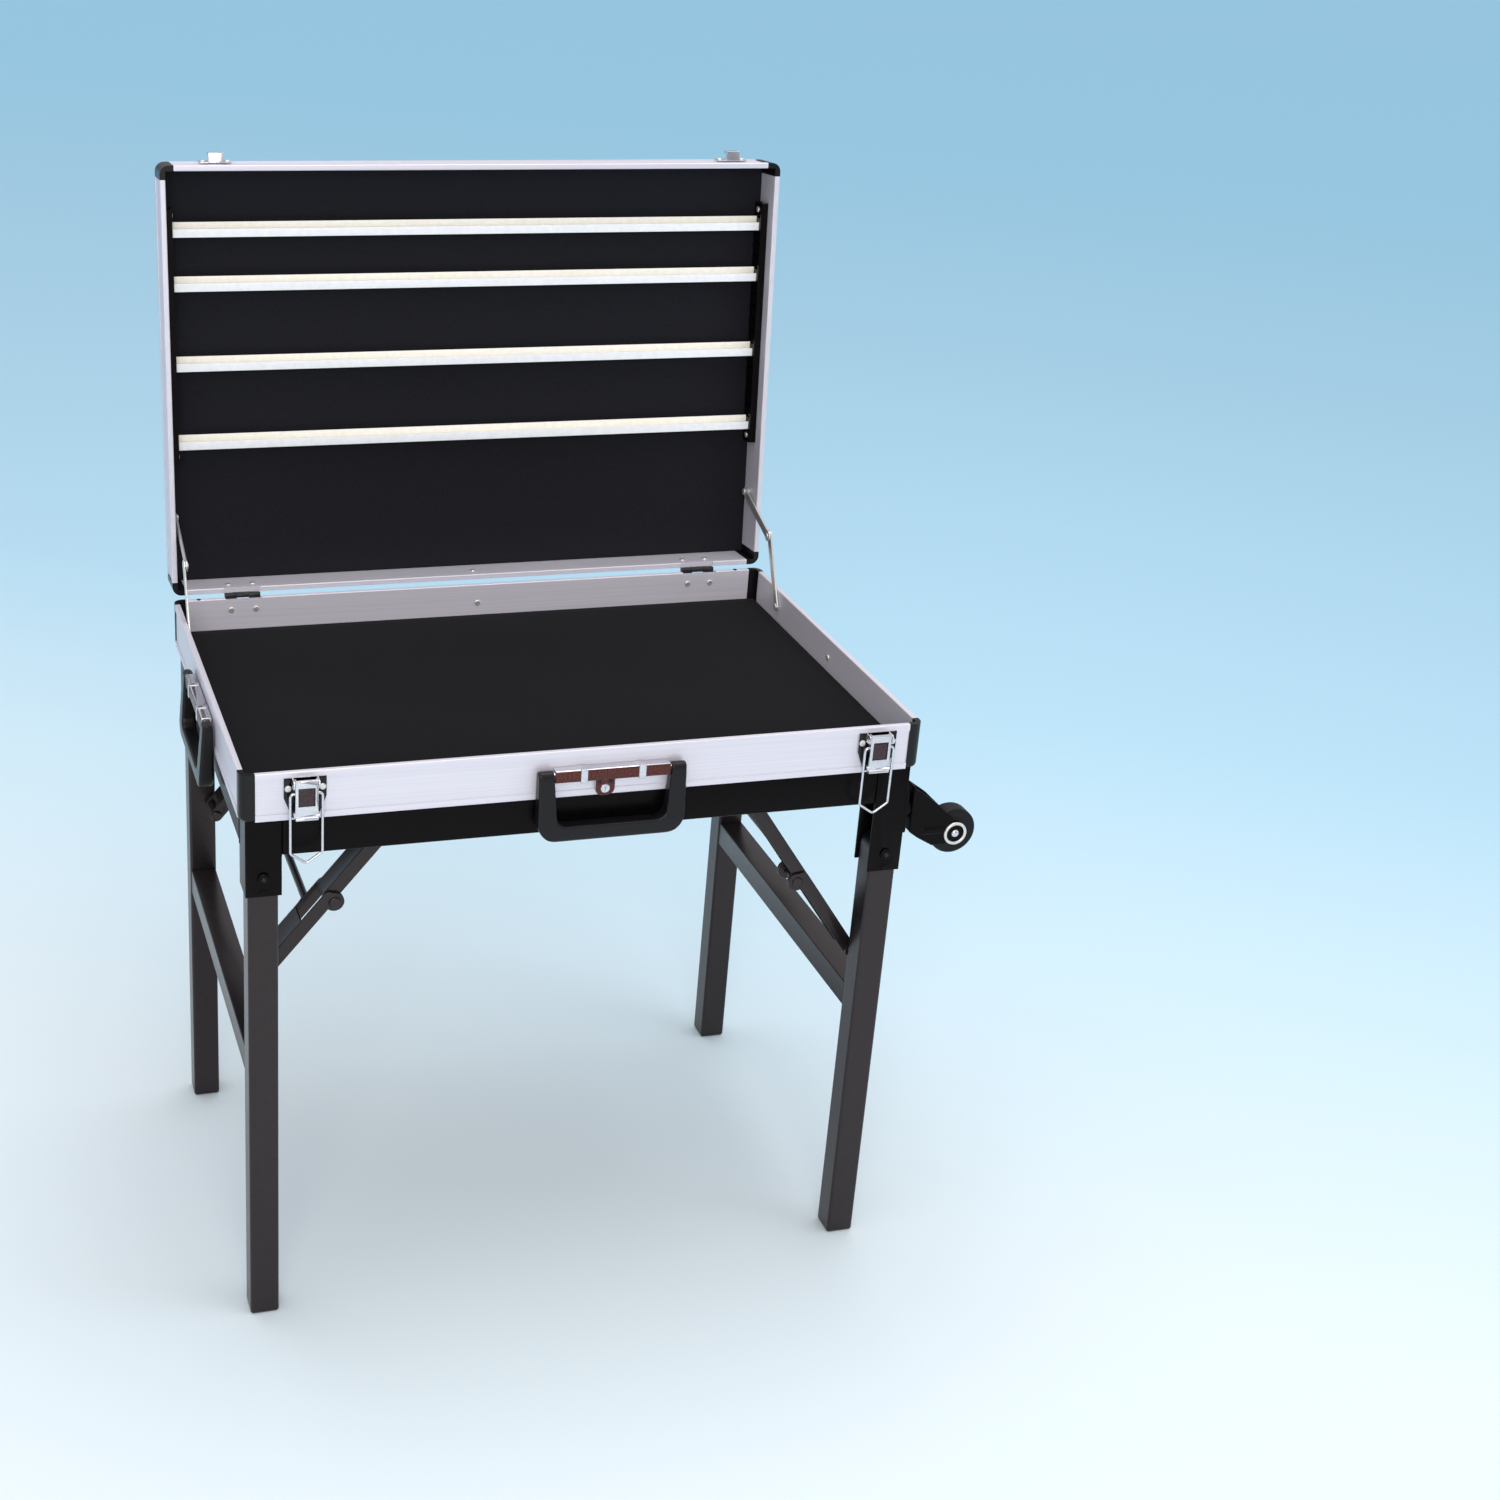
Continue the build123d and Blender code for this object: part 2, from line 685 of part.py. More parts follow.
def handle_grip():
    """The moulded grip that hangs from the base's two end pins and is deepest at its bar."""
    half = grip_width / 2
    low = -grip_drop
    inner = half - grip_arm
    floor = low + grip_height
    narrow = inner - grip_taper
    outline = Pos(0, low / 2) * Rectangle(grip_width, grip_drop)
    outline = fillet([v for v in outline.vertices() if v.Y < low / 2], grip_corner)
    corners = [(-inner, grip_arm_depth), (inner, grip_arm_depth), (inner, 0),
               (narrow, floor), (-narrow, floor), (-inner, 0)]
    opening = make_face(Polyline(*corners, close=True).edges())
    opening = fillet([v for v in opening.vertices() if v.Y < low / 2], grip_inner_corner)
    back = -handle_stand + grip_arm_depth / 2
    arm_front, bar_front = back - grip_arm_depth, back - grip_bar_depth
    grip = Pos(0, bar_front, 0) * extrude(Plane.XZ * (outline - opening), amount=-grip_bar_depth)
    points = [(back, 0), (arm_front, 0), (bar_front, floor), (bar_front, low), (back, low)]
    profile = make_face(Polyline(*points, close=True).edges())
    profile = fillet([v for v in profile.vertices() if v.Y < low + 1], grip_bar_rounding)
    grip &= Pos(-half, 0, 0) * extrude(Plane.YZ * profile, amount=grip_width)
    for side in (-1, 1):
        start = side * (half - grip_arm)
        grip += rod("X", start, -handle_stand, 0, side * grip_arm, grip_arm_depth / 2)
        grip -= rod("X", start - side * grip_taper, -handle_stand, 0, side * (grip_taper + grip_pin_hole),
                    handle_pin_radius + running_fit)
    return grip


def to_front(shape):
    return Pos(handle_offset, -half_depth, rim_height - handle_drop) * shape


def to_left(shape):
    return Pos(-half_width, 0, rim_height - handle_drop) * Rot(0, 0, -90) * shape


def lock_place():
    z0 = tray_bottom + lock_foot
    return lock_offset, -half_depth, z0, z0 + lock_height


def lock_body():
    """The key lock's case under the front handle's bar."""
    x, y, z0, z1 = lock_place()
    half = lock_width / 2
    body = block(x - half, x + half, y - lock_depth, y, z0, z1)
    low = body.edges().filter_by(Axis.Y).group_by(Axis.Z)[0]
    body = fillet(low, lock_rounding)
    return body - rod("Y", x, y - lock_depth - 1, z0 + plug_rise, lock_depth, plug_radius + running_fit)


def lock_plug():
    """The part of the lock that turns with the key."""
    x, y, z0, _ = lock_place()
    front = y - lock_depth - plug_proud
    z = z0 + plug_rise
    plug = rod("Y", x, front, z, plug_length, plug_radius)
    slot = block(x - key_slot_width / 2, x + key_slot_width / 2, front - 1, front + key_slot_depth,
                 z - key_slot_height / 2, z + key_slot_height / 2)
    return plug - slot


def pivot_drop(side):
    return left_pivot_drop if side < 0 else right_pivot_drop


def underframe():
    """Rails between the corner brackets, with the pins of the braces, and two cross rails."""
    z0, z1 = rail_bottom, tray_bottom
    end_x = frame_half_width - bracket_length
    end_y = frame_half_depth - bracket_span
    room = frame_half_depth - rail_width
    tubes = []
    for side in (-1, 1):
        outer, inner = side * frame_half_depth, side * room
        rail = tube_box(-end_x, end_x, min(outer, inner), max(outer, inner), z0, z1, "X")
        for brace in (-1, 1):
            rail += brace_pin(brace_ends(brace)[0], side, room, brace_outer_face - upper_inset,
                              brace_inner_face + upper_inset)
        tubes.append(rail)
        outer = side * frame_half_width
        inner = side * (frame_half_width - rail_width)
        tubes.append(tube_box(min(outer, inner), max(outer, inner), -end_y, end_y, z0, z1, "Y"))
        cross = side * cross_rail_offset
        tubes.append(tube_box(cross - rail_width / 2, cross + rail_width / 2, -room, room, z0, z1, "Y"))
    return tubes


def brace_pin(place, end, face, outer, inner):
    """The pin of a brace, standing inward from a tube's face through a link between two distances from the middle."""
    x, z = place
    root, stop = face + tube_wall, inner - seat_gap
    pin = rod("Y", x, end * root, z, -end * (root - stop), brace_pin_radius)
    pin += rod("Y", x, end * face, z, -end * (face - outer - seat_gap), brace_collar_radius)
    return pin + domed_head("Y", x, end * stop, z, -end * brace_head_height, brace_head_radius)


def leg_bracket(side, end):
    """A folded steel channel at a corner that a leg turns in, open towards the middle of the case."""
    outer_x = side * frame_half_width
    inner_x = side * (frame_half_width - bracket_length)
    outer_y = end * frame_half_depth
    inner_y = end * (frame_half_depth - bracket_span)
    z0 = rim_height - pivot_drop(side) - bracket_reach
    web = block(outer_x, outer_x - side * bracket_sheet, outer_y, inner_y, z0, tray_bottom)
    top = block(outer_x, inner_x, outer_y, inner_y, tray_bottom - bracket_sheet, tray_bottom)
    near = block(outer_x, inner_x, outer_y, outer_y - end * bracket_sheet, z0, tray_bottom)
    far = block(outer_x, inner_x, inner_y, inner_y + end * bracket_sheet, z0, tray_bottom)
    bracket = web + top + near + far
    bracket += rod("Y", side * leg_x, outer_y, z0 + dimple_rise, end * dimple_height, dimple_radius)
    z = rim_height - pivot_drop(side)
    return bracket - rod("Y", side * leg_x, outer_y + end, z, -end * (bracket_span + 2),
                         leg_bolt_radius + running_fit)


def leg_bolt(side, end):
    """The bolt that a leg turns on, with its head outside and its nut inside."""
    outer_y = end * frame_half_depth
    inner_y = end * (frame_half_depth - bracket_span)
    x, z = side * leg_x, rim_height - pivot_drop(side)
    bolt = rod("Y", x, outer_y, z, -end * bracket_span, leg_bolt_radius)
    bolt += domed_head("Y", x, outer_y, z, end * bolt_head_height, bolt_head_radius)
    return bolt + domed_head("Y", x, inner_y, z, -end * bolt_head_height, bolt_head_radius)


def leg(side, end):
    """A square tube with a round top about its pivot and the pin of its brace's foot."""
    x, z = side * leg_x, rim_height - pivot_drop(side)

    def outline(inset, y0, y1, foot):
        half = leg_size / 2 - inset
        body = block(x - half, x + half, y0, y1, foot, z)
        return body + rod("Y", x, y0, z, y1 - y0, half)

    y0, y1 = end * leg_y - leg_size / 2, end * leg_y + leg_size / 2
    skin = outline(0, y0, y1, foot_height)
    faces = skin.faces().filter_by(Axis.Y)
    edges = [e for f in faces for e in f.edges() if e.center().Z > foot_height + 1]
    skin = fillet(edges, leg_rounding)
    tube = skin - outline(tube_wall, y0 + tube_wall, y1 - tube_wall, foot_height - 1)
    tube += brace_pin(brace_ends(side)[1], end, leg_y - leg_size / 2, brace_outer_face, brace_inner_face)
    return tube - rod("Y", x, y0 - 1, z, leg_size + 2, leg_bolt_radius + running_fit)


def foot(side, end):
    """A plastic foot with a plug that fits inside the leg."""
    x, y = side * leg_x, end * leg_y
    half = leg_size / 2
    pad = block(x - half, x + half, y - half, y + half, 0, foot_height)
    pad = fillet(pad.edges().filter_by(Axis.Z), leg_rounding)
    pad = fillet(pad.edges().group_by(Axis.Z)[0], foot_rounding)
    inner = half - tube_wall - plug_gap
    return pad + block(x - inner, x + inner, y - inner, y + inner, foot_height, foot_height + foot_plug)


def crossbar(side):
    """The tube between a front and a rear leg."""
    reach = leg_y - leg_size / 2
    x, z = side * leg_x, rim_height - crossbar_drop
    half = crossbar_size / 2
    return tube_box(x - half, x + half, -reach, reach, z - half, z + half, "Y")


def brace_ends(side):
    """The top and foot pivots of a brace in X and Z."""
    top, foot = (left_brace_top, left_brace_foot) if side < 0 else (right_brace_top, right_brace_foot)
    return (side * top[0], rim_height - top[1]), (side * foot[0], rim_height - foot[1])


def brace_knuckle(side):
    return left_brace_knuckle if side < 0 else right_brace_knuckle


def on_brace(side, along, out):
    """A point in X and Z that far down a brace from its top pivot and that far to its outer side."""
    top, foot = brace_ends(side)
    span = math.dist(top, foot)
    dx, dz = (foot[0] - top[0]) / span, (foot[1] - top[1]) / span
    return top[0] + dx * along - side * dz * out, top[1] + dz * along + side * dx * out


def brace_channel(side, end, start, stop, web_start, web_stop, inset):
    """A channel link between two places along a brace, open to its inner side, with round lugs at the knuckle."""
    near, far = brace_inner_face + inset, brace_outer_face - inset
    knuckle = on_brace(side, brace_knuckle(side), -knuckle_offset)
    web = [on_brace(side, along, out) for along, out in
           ((web_start, brace_depth / 2), (web_stop, brace_depth / 2),
            (web_stop, brace_depth / 2 - brace_sheet), (web_start, brace_depth / 2 - brace_sheet))]
    link = plate_xz(web, *sorted((end * near, end * far)))
    for face in (near, far - brace_sheet):
        y0, y1 = sorted((end * face, end * (face + brace_sheet)))
        link += bar_xz(on_brace(side, start, 0), on_brace(side, stop, 0), brace_depth, y0, y1)
        link += rod("Y", knuckle[0], y0, knuckle[1], brace_sheet, brace_lug_radius)
    return link


def pin_hole(place, end, inner, outer):
    """The hole of a brace's pin through a link between two distances from the middle."""
    return rod("Y", place[0], end * (inner - 1), place[1], end * (outer - inner + 2), brace_pin_radius + running_fit)


def brace_upper(side):
    """The two upper links of one side, each with the pin of its knuckle between its flanges."""
    knuckle = brace_knuckle(side)
    x, z = on_brace(side, knuckle, -knuckle_offset)
    inner, outer = brace_inner_face + upper_inset, brace_outer_face - upper_inset
    links = []
    for end in (-1, 1):
        link = brace_channel(side, end, 0, knuckle, upper_web_start, knuckle, upper_inset)
        link += rod("Y", x, end * inner, z, end * (outer - inner), brace_pin_radius)
        links.append(link - pin_hole(brace_ends(side)[0], end, inner, outer))
    return links


def brace_lower(side):
    """The two lower links of one side and the rod that ties them together."""
    top, foot = brace_ends(side)
    knuckle, span = brace_knuckle(side), math.dist(top, foot)
    x, z = on_brace(side, knuckle, -knuckle_offset)
    tie = on_brace(side, knuckle + tie_rod_along, tie_rod_out)
    reach = brace_inner_face + brace_sheet / 2
    links = rod("Y", tie[0], -reach, tie[1], 2 * reach, tie_rod_radius)
    for end in (-1, 1):
        link = brace_channel(side, end, knuckle, span, knuckle + lower_web_start, span - lower_web_stop, 0)
        link += domed_head("Y", x, end * brace_outer_face, z, end * brace_head_height, brace_head_radius)
        link += domed_head("Y", x, end * brace_inner_face, z, -end * brace_head_height, brace_head_radius)
        links += link - pin_hole(foot, end, brace_inner_face, brace_outer_face)
    return links


def castor_plate(end):
    """A plate on the outside of a right bracket with the boss and king pin of a castor."""
    x, y, z = frame_half_width, end * leg_y, rim_height - castor_swivel_drop
    w, h = castor_plate_width / 2, castor_plate_height / 2
    plate = block(x, x + castor_plate_sheet, y - w, y + w, z - h, z + h)
    plate = fillet(plate.edges().filter_by(Axis.X), castor_plate_rounding)
    face = x + castor_plate_sheet
    plate += rod("X", face, y, z, swivel_boss_length, swivel_boss_radius)
    pin = seat_gap + fork_sheet + seat_gap
    plate += rod("X", face + swivel_boss_length, y, z, pin, king_pin_radius)
    return plate + rod("X", face + swivel_boss_length + pin, y, z, king_pin_head_height, king_pin_head_radius)


def castor_axle_place(end):
    x = frame_half_width + castor_reach
    return x, end * leg_y, rim_height - castor_swivel_drop - castor_trail


def castor_fork(end):
    """The fork of a castor, trailing down from its swivel, with the wheel's axle."""
    x0 = frame_half_width + castor_plate_sheet + swivel_boss_length + seat_gap
    ax, y, az = castor_axle_place(end)
    sz = rim_height - castor_swivel_drop
    half = wheel_width / 2 + fork_gap
    head = fork_head_half
    fork = block(x0, x0 + fork_sheet, y - half - fork_sheet, y + half + fork_sheet, sz - head, sz + head)
    outline = [(x0, sz + head), (ax - fork_shoulder[0], az + fork_shoulder[1]), (ax, az + fork_boss_radius),
               (ax, az - fork_boss_radius), (ax - fork_heel[0], az - fork_heel[1]),
               (ax - fork_throat[0], az - fork_throat[1]), (x0, sz - head)]
    rib_z = az + fork_rib_rise
    for side in (-1, 1):
        inner, outer = y + side * half, y + side * (half + fork_sheet)
        fork += plate_xz(outline, min(inner, outer), max(inner, outer))
        boss = rod("Y", ax, inner, az, side * (fork_sheet + fork_ring_proud), fork_boss_radius)
        fork += boss - rod("Y", ax, outer, az, side * (fork_ring_proud + 1), fork_ring_radius)
        rib_y = sorted((outer, outer + side * fork_ring_proud))
        rib_start = (ax - fork_throat[0] + fork_rib_width, rib_z)
        fork += bar_xz(rib_start, (ax - fork_boss_radius, rib_z), fork_rib_width, *rib_y)
    fork -= rod("X", x0 - 1, y, sz, fork_sheet + 2, king_pin_radius + running_fit)
    reach = half + fork_sheet + axle_end
    return fork + rod("Y", ax, y - reach, az, 2 * reach, axle_radius)


def castor_tyre(end):
    """The round-shouldered tyre of a castor."""
    x, y, z = castor_axle_place(end)
    half = wheel_width / 2
    tyre = rod("Y", x, y - half, z, wheel_width, wheel_radius)
    tyre = fillet(tyre.edges().filter_by(GeomType.CIRCLE), tyre_rounding)
    return tyre - rod("Y", x, y - half - 1, z, wheel_width + 2, hub_radius)


def castor_hub(end):
    """The hub that fills the tyre and turns on the axle."""
    x, y, z = castor_axle_place(end)
    wide = wheel_width / 2 + hub_proud
    hub = rod("Y", x, y - wide, z, 2 * wide, hub_radius - running_fit)
    return hub - rod("Y", x, y - wide - 1, z, 2 * wide + 2, axle_radius + running_fit)


def tray_walls():
    walls = four_walls(tray_wall_height, tray_bottom)
    for notch in hinge_notch(-1):
        walls["rear"] -= notch
    for spot in hinge_rivet_spots(-1):
        walls["rear"] -= rivet_hole(*spot, (0, 1, 0), wall_thickness + 1)
    for spot, inward in side_rivet_spots():
        name = "rear" if inward[1] else ("right" if inward[0] > 0 else "left")
        walls[name] -= rivet_hole(*spot, inward, wall_thickness / 2)
    for x in latch_places:
        for spot in latch_rivet_spots(x):
            walls["front"] -= rivet_hole(*spot, (0, 1, 0), latch_plate_sheet + wall_thickness / 2)
    return walls


def lid_walls():
    walls = four_walls(lid_wall_height, lid_rim)
    for notch in hinge_notch(1):
        walls["rear"] -= notch
    for spot in hinge_rivet_spots(1):
        walls["rear"] -= rivet_hole(*spot, (0, 1, 0), wall_thickness + 1)
    walls["rear"] -= rivet_hole(*lid_rivet_spot(), (0, 1, 0), wall_thickness / 2)
    for x in latch_places:
        for spot in catch_rivet_spots(x):
            walls["front"] -= rivet_hole(*spot, (0, 1, 0), catch_sheet + wall_thickness / 2)
    return walls


def tray_rivets():
    """Every rivet and pin that is fixed in the tray's walls."""
    group = [rivet(*spot, (0, 1, 0), wall_thickness) for spot in hinge_rivet_spots(-1)]
    group += [rivet(*spot, inward, wall_thickness / 2) for spot, inward in side_rivet_spots()]
    for x in latch_places:
        group += [rivet(*spot, (0, 1, 0), latch_plate_sheet + wall_thickness / 2) for spot in latch_rivet_spots(x)]
    return group + stay_pins_on_tray()


def lid_rivets():
    """Every rivet and pin that is fixed in the lid's walls, with the lid closed."""
    group = [rivet(*spot, (0, 1, 0), wall_thickness) for spot in hinge_rivet_spots(1)]
    group.append(rivet(*lid_rivet_spot(), (0, 1, 0), wall_thickness / 2))
    for x in latch_places:
        group += [rivet(*spot, (0, 1, 0), catch_sheet + wall_thickness / 2) for spot in catch_rivet_spots(x)]
    for side in (-1, 1):
        web = side * (inner_half_width - upright_projection)
        for level in upright_levels():
            y, z = on_lid(level, upright_setback + upright_width / 2)
            group.append(rivet(web, y, z, (side, 0, 0), upright_projection))
    return group + stay_pins_on_lid()


def save(name, shapes):
    """Writes one solid, or a group of separate solids, as one file."""
    shapes = shapes if isinstance(shapes, list) else [shapes]
    solids = [solid for shape in shapes for solid in shape.solids()]
    export_step(solids[0] if len(solids) == 1 else Compound(children=solids), f"parts/{name}.step")


def build_tray():
    for name, shape in tray_walls().items():
        save(f"tray_{name}_wall", shape)
    save("tray_corner_posts", corner_posts(tray_wall_height, tray_bottom, 0))
    save("tray_base_board", lining(board_thickness, tray_bottom, 0))
    save("tray_felt_pad", lining(pad_thickness, tray_bottom + board_thickness, lining_gap))
    save("tray_rivets", tray_rivets())
    save("hinge_leaves_tray", hinge_leaves(-1) + hinge_pins())
    save("latch_bases", [latch_base(x) for x in latch_places])
    save("handle_bases", [to_front(handle_base()), to_left(handle_base())])
    save("front_handle_grip", to_front(handle_grip()))
    save("side_handle_grip", to_left(handle_grip()))
    save("lock_body", lock_body())
    save("lock_plug", lock_plug())


def build_lid():
    for name, shape in lid_walls().items():
        save(f"lid_{name}_wall", open_lid(shape))
    save("lid_corner_posts", [open_lid(post) for post in corner_posts(lid_wall_height, lid_rim, -1)])
    panel = lid_top - board_thickness
    save("lid_back_panel", open_lid(lining(board_thickness, panel, 0)))
    save("lid_felt_lining", open_lid(lining(lining_thickness, panel - lining_thickness, lining_gap)))
    save("card_uprights", [open_lid(shape) for shape in uprights()])
    for number, level in enumerate(bar_levels, start=1):
        save(f"card_bar_{number}", open_lid(card_bar(level)))
    save("latch_catches", [open_lid(latch_catch(x)) for x in latch_places])
    save("hinge_leaves_lid", [open_lid(leaf) for leaf in hinge_leaves(1)])
    save("lid_rivets", [open_lid(shape) for shape in lid_rivets()])


def build_moving_hardware():
    for side, x, name in ((-1, latch_places[0], "left"), (1, latch_places[1], "right")):
        upper, lower = lid_stay(side)
        save(f"lid_stay_upper_{name}", upper)
        save(f"lid_stay_lower_{name}", lower)
        save(f"latch_lever_{name}", latch_lever(x))
        save(f"latch_bail_{name}", latch_bail(x))


def build_stand():
    save("underframe", underframe())
    save("leg_brackets", [leg_bracket(side, end) for side in (-1, 1) for end in (-1, 1)])
    save("leg_bolts", [leg_bolt(side, end) for side in (-1, 1) for end in (-1, 1)])
    save("castor_plates", [castor_plate(end) for end in (-1, 1)])
    for side, name in ((-1, "left"), (1, "right")):
        save(f"leg_front_{name}", leg(side, -1))
        save(f"leg_rear_{name}", leg(side, 1))
        save(f"feet_{name}", [foot(side, end) for end in (-1, 1)])
        save(f"crossbar_{name}", crossbar(side))
        save(f"brace_upper_{name}", brace_upper(side))
        save(f"brace_lower_{name}", brace_lower(side))
    for end, name in ((-1, "front"), (1, "rear")):
        save(f"castor_fork_{name}", castor_fork(end))
        save(f"castor_tyre_{name}", castor_tyre(end))
        save(f"castor_hub_{name}", castor_hub(end))


os.makedirs("parts", exist_ok=True)
build_tray()
build_lid()
build_moving_hardware()
build_stand()
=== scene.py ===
# %% [markdown]
# # A jewelry display case on folding legs
# This lesson dresses an engineering model of an aluminium display case. The solids already have the
# right sizes and places, so the work here is finishes, soft felt, rounded edges, small fittings and light.

# %% Load the solids
import json
import math

import bmesh
import bpy
from mathutils import Matrix, Vector

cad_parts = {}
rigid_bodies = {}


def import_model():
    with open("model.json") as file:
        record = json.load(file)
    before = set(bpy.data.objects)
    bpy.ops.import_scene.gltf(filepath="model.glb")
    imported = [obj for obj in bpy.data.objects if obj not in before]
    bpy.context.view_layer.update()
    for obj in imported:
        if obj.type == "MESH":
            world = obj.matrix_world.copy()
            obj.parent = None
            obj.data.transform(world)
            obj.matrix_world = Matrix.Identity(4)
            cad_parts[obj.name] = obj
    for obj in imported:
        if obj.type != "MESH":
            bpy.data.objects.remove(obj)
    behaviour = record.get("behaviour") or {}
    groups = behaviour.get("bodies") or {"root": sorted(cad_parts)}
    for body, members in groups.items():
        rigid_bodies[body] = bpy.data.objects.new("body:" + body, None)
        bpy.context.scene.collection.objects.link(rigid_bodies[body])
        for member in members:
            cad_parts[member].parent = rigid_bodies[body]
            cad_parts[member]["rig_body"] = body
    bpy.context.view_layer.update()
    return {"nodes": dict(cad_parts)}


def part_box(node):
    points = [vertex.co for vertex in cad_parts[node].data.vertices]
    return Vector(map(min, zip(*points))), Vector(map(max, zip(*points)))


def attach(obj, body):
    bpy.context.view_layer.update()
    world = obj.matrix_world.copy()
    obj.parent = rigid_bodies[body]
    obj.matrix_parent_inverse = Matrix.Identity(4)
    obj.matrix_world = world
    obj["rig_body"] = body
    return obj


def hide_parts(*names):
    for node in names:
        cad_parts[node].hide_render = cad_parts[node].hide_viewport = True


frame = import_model()
nodes = frame["nodes"]
mm = 0.001
body_of = {name: obj["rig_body"] for name, obj in nodes.items()}

# %% [markdown]
# ## The camera
# A camera is a place, three directions and a lens. The place and the angles below were fitted to
# measured corners of the real case. The lens shift stands for a picture that was cut off-centre.

# %% Camera
image_size = 1500
focal_pixels = 2256.9
picture_centre = (544.2, 715.4)
camera_place = Vector((-640.6, -2139.2, 1538.7)) * mm
yaw = math.radians(17.10)
pitch = math.radians(23.56)
roll = math.radians(-2.843)

forward = Vector((math.sin(yaw) * math.cos(pitch), math.cos(yaw) * math.cos(pitch), -math.sin(pitch)))
level_right = Vector((math.cos(yaw), -math.sin(yaw), 0))
level_down = forward.cross(level_right)
right = math.cos(roll) * level_right + math.sin(roll) * level_down
down = math.cos(roll) * level_down - math.sin(roll) * level_right

camera = bpy.data.objects.new("camera", bpy.data.cameras.new("camera"))
bpy.context.scene.collection.objects.link(camera)
camera.matrix_world = Matrix((
    (right.x, -down.x, -forward.x, camera_place.x),
    (right.y, -down.y, -forward.y, camera_place.y),
    (right.z, -down.z, -forward.z, camera_place.z),
    (0, 0, 0, 1),
))
camera.data.sensor_width = 36
camera.data.lens = focal_pixels / image_size * camera.data.sensor_width
camera.data.shift_x = (image_size / 2 - picture_centre[0]) / image_size
camera.data.shift_y = (picture_centre[1] - image_size / 2) / image_size
camera.data.clip_end = 100
bpy.context.scene.camera = camera
print("lens in mm:", round(camera.data.lens, 2))

# %% [markdown]
# ## Tools for materials
# A colour picked on a screen is an sRGB hex value, but a shader wants linear light, so one function
# turns the first into the second. Another adds a node with its settings and its links.


# %% Material helpers
def linear(hex_code):
    """An sRGB hex value as linear red, green, blue and alpha."""
    channels = [int(hex_code[i:i + 2], 16) / 255 for i in (1, 3, 5)]
    light = [c / 12.92 if c <= 0.04045 else ((c + 0.055) / 1.055) ** 2.4 for c in channels]
    return (*light, 1)


def add_node(tree, kind, inputs=None, **settings):
    """Adds a node; an input that is a socket is linked, and any other value is set."""
    made = tree.nodes.new(kind)
    for name, value in settings.items():
        setattr(made, name, value)
    for name, value in (inputs or {}).items():
        if isinstance(value, bpy.types.NodeSocket):
            tree.links.new(value, made.inputs[name])
        else:
            made.inputs[name].default_value = value
    return made


def start_material(name, colour, metallic, roughness):
    """A new material with its shader's own values set."""
    material = bpy.data.materials.new(name)
    material.use_nodes = True
    shader = material.node_tree.nodes["Principled BSDF"]
    shader.inputs["Base Color"].default_value = linear(colour)
    shader.inputs["Metallic"].default_value = metallic
    shader.inputs["Roughness"].default_value = roughness
    return material, material.node_tree, shader


def vary_surface(tree, shader, pattern, colours, roughness, bump, bump_height):
    """Lets one pattern drive colour, roughness and a fine relief."""
    ramp = add_node(tree, "ShaderNodeValToRGB", {"Fac": pattern})
    ramp.color_ramp.elements[0].position = 0.3
    ramp.color_ramp.elements[1].position = 0.7
    ramp.color_ramp.elements[0].color = linear(colours[0])
    ramp.color_ramp.elements[1].color = linear(colours[1])
    tree.links.new(ramp.outputs["Color"], shader.inputs["Base Color"])
    rough = add_node(tree, "ShaderNodeMapRange", {
        "Value": pattern, "To Min": roughness[0], "To Max": roughness[1],
    })
    tree.links.new(rough.outputs["Result"], shader.inputs["Roughness"])
    relief = add_node(tree, "ShaderNodeBump", {
        "Height": pattern, "Strength": bump, "Distance": bump_height,
    })
    tree.links.new(relief.outputs["Normal"], shader.inputs["Normal"])


# %% [markdown]
# ## Anodised aluminium
# The walls are extruded aluminium with a satin anodised skin. Drawing the profile through its die
# leaves fine lines along its length. Real lines are a tenth of a millimetre, too fine to show, so they
# are drawn 1.5 mm wide. A noise stretched along the profile gives them, and each direction has its own.


# %% Anodised aluminium
def anodised_aluminium(name, along, colours):
    """Satin aluminium with fine lines along one axis."""
    material, tree, shader = start_material(name, colours[1], 0.25, 0.36)
    line_width = 1.5 * mm
    line_length = 350 * mm
    scale = [1 / line_width] * 3
    scale["XYZ".index(along)] = 1 / line_length
    place = add_node(tree, "ShaderNodeTexCoord")
    stretched = add_node(tree, "ShaderNodeMapping", {"Vector": place.outputs["Object"], "Scale": scale})
    lines = add_node(tree, "ShaderNodeTexNoise", {
        "Vector": stretched.outputs["Vector"], "Scale": 1.0, "Detail": 3.0,
    })
    vary_surface(tree, shader, lines.outputs["Fac"], colours, (0.32, 0.42), 0.05, 0.03 * mm)
    return material


wall_colours = ("#D2D1DC", "#DBDAE4")
aluminium_x = anodised_aluminium("anodised aluminium drawn along X", "X", wall_colours)
aluminium_y = anodised_aluminium("anodised aluminium drawn along Y", "Y", wall_colours)
aluminium_z = anodised_aluminium("anodised aluminium drawn along Z", "Z", wall_colours)

# %% [markdown]
# ## Black felt
# The linings are needle-punched polyester felt. Its fibres lie in all directions and scatter light, so
# it is nearly black with no highlight, and a faint sheen at a low angle. Fibre clumps are about 1 mm.
# The felt in the lid is a shade lighter than the felt on the pad.


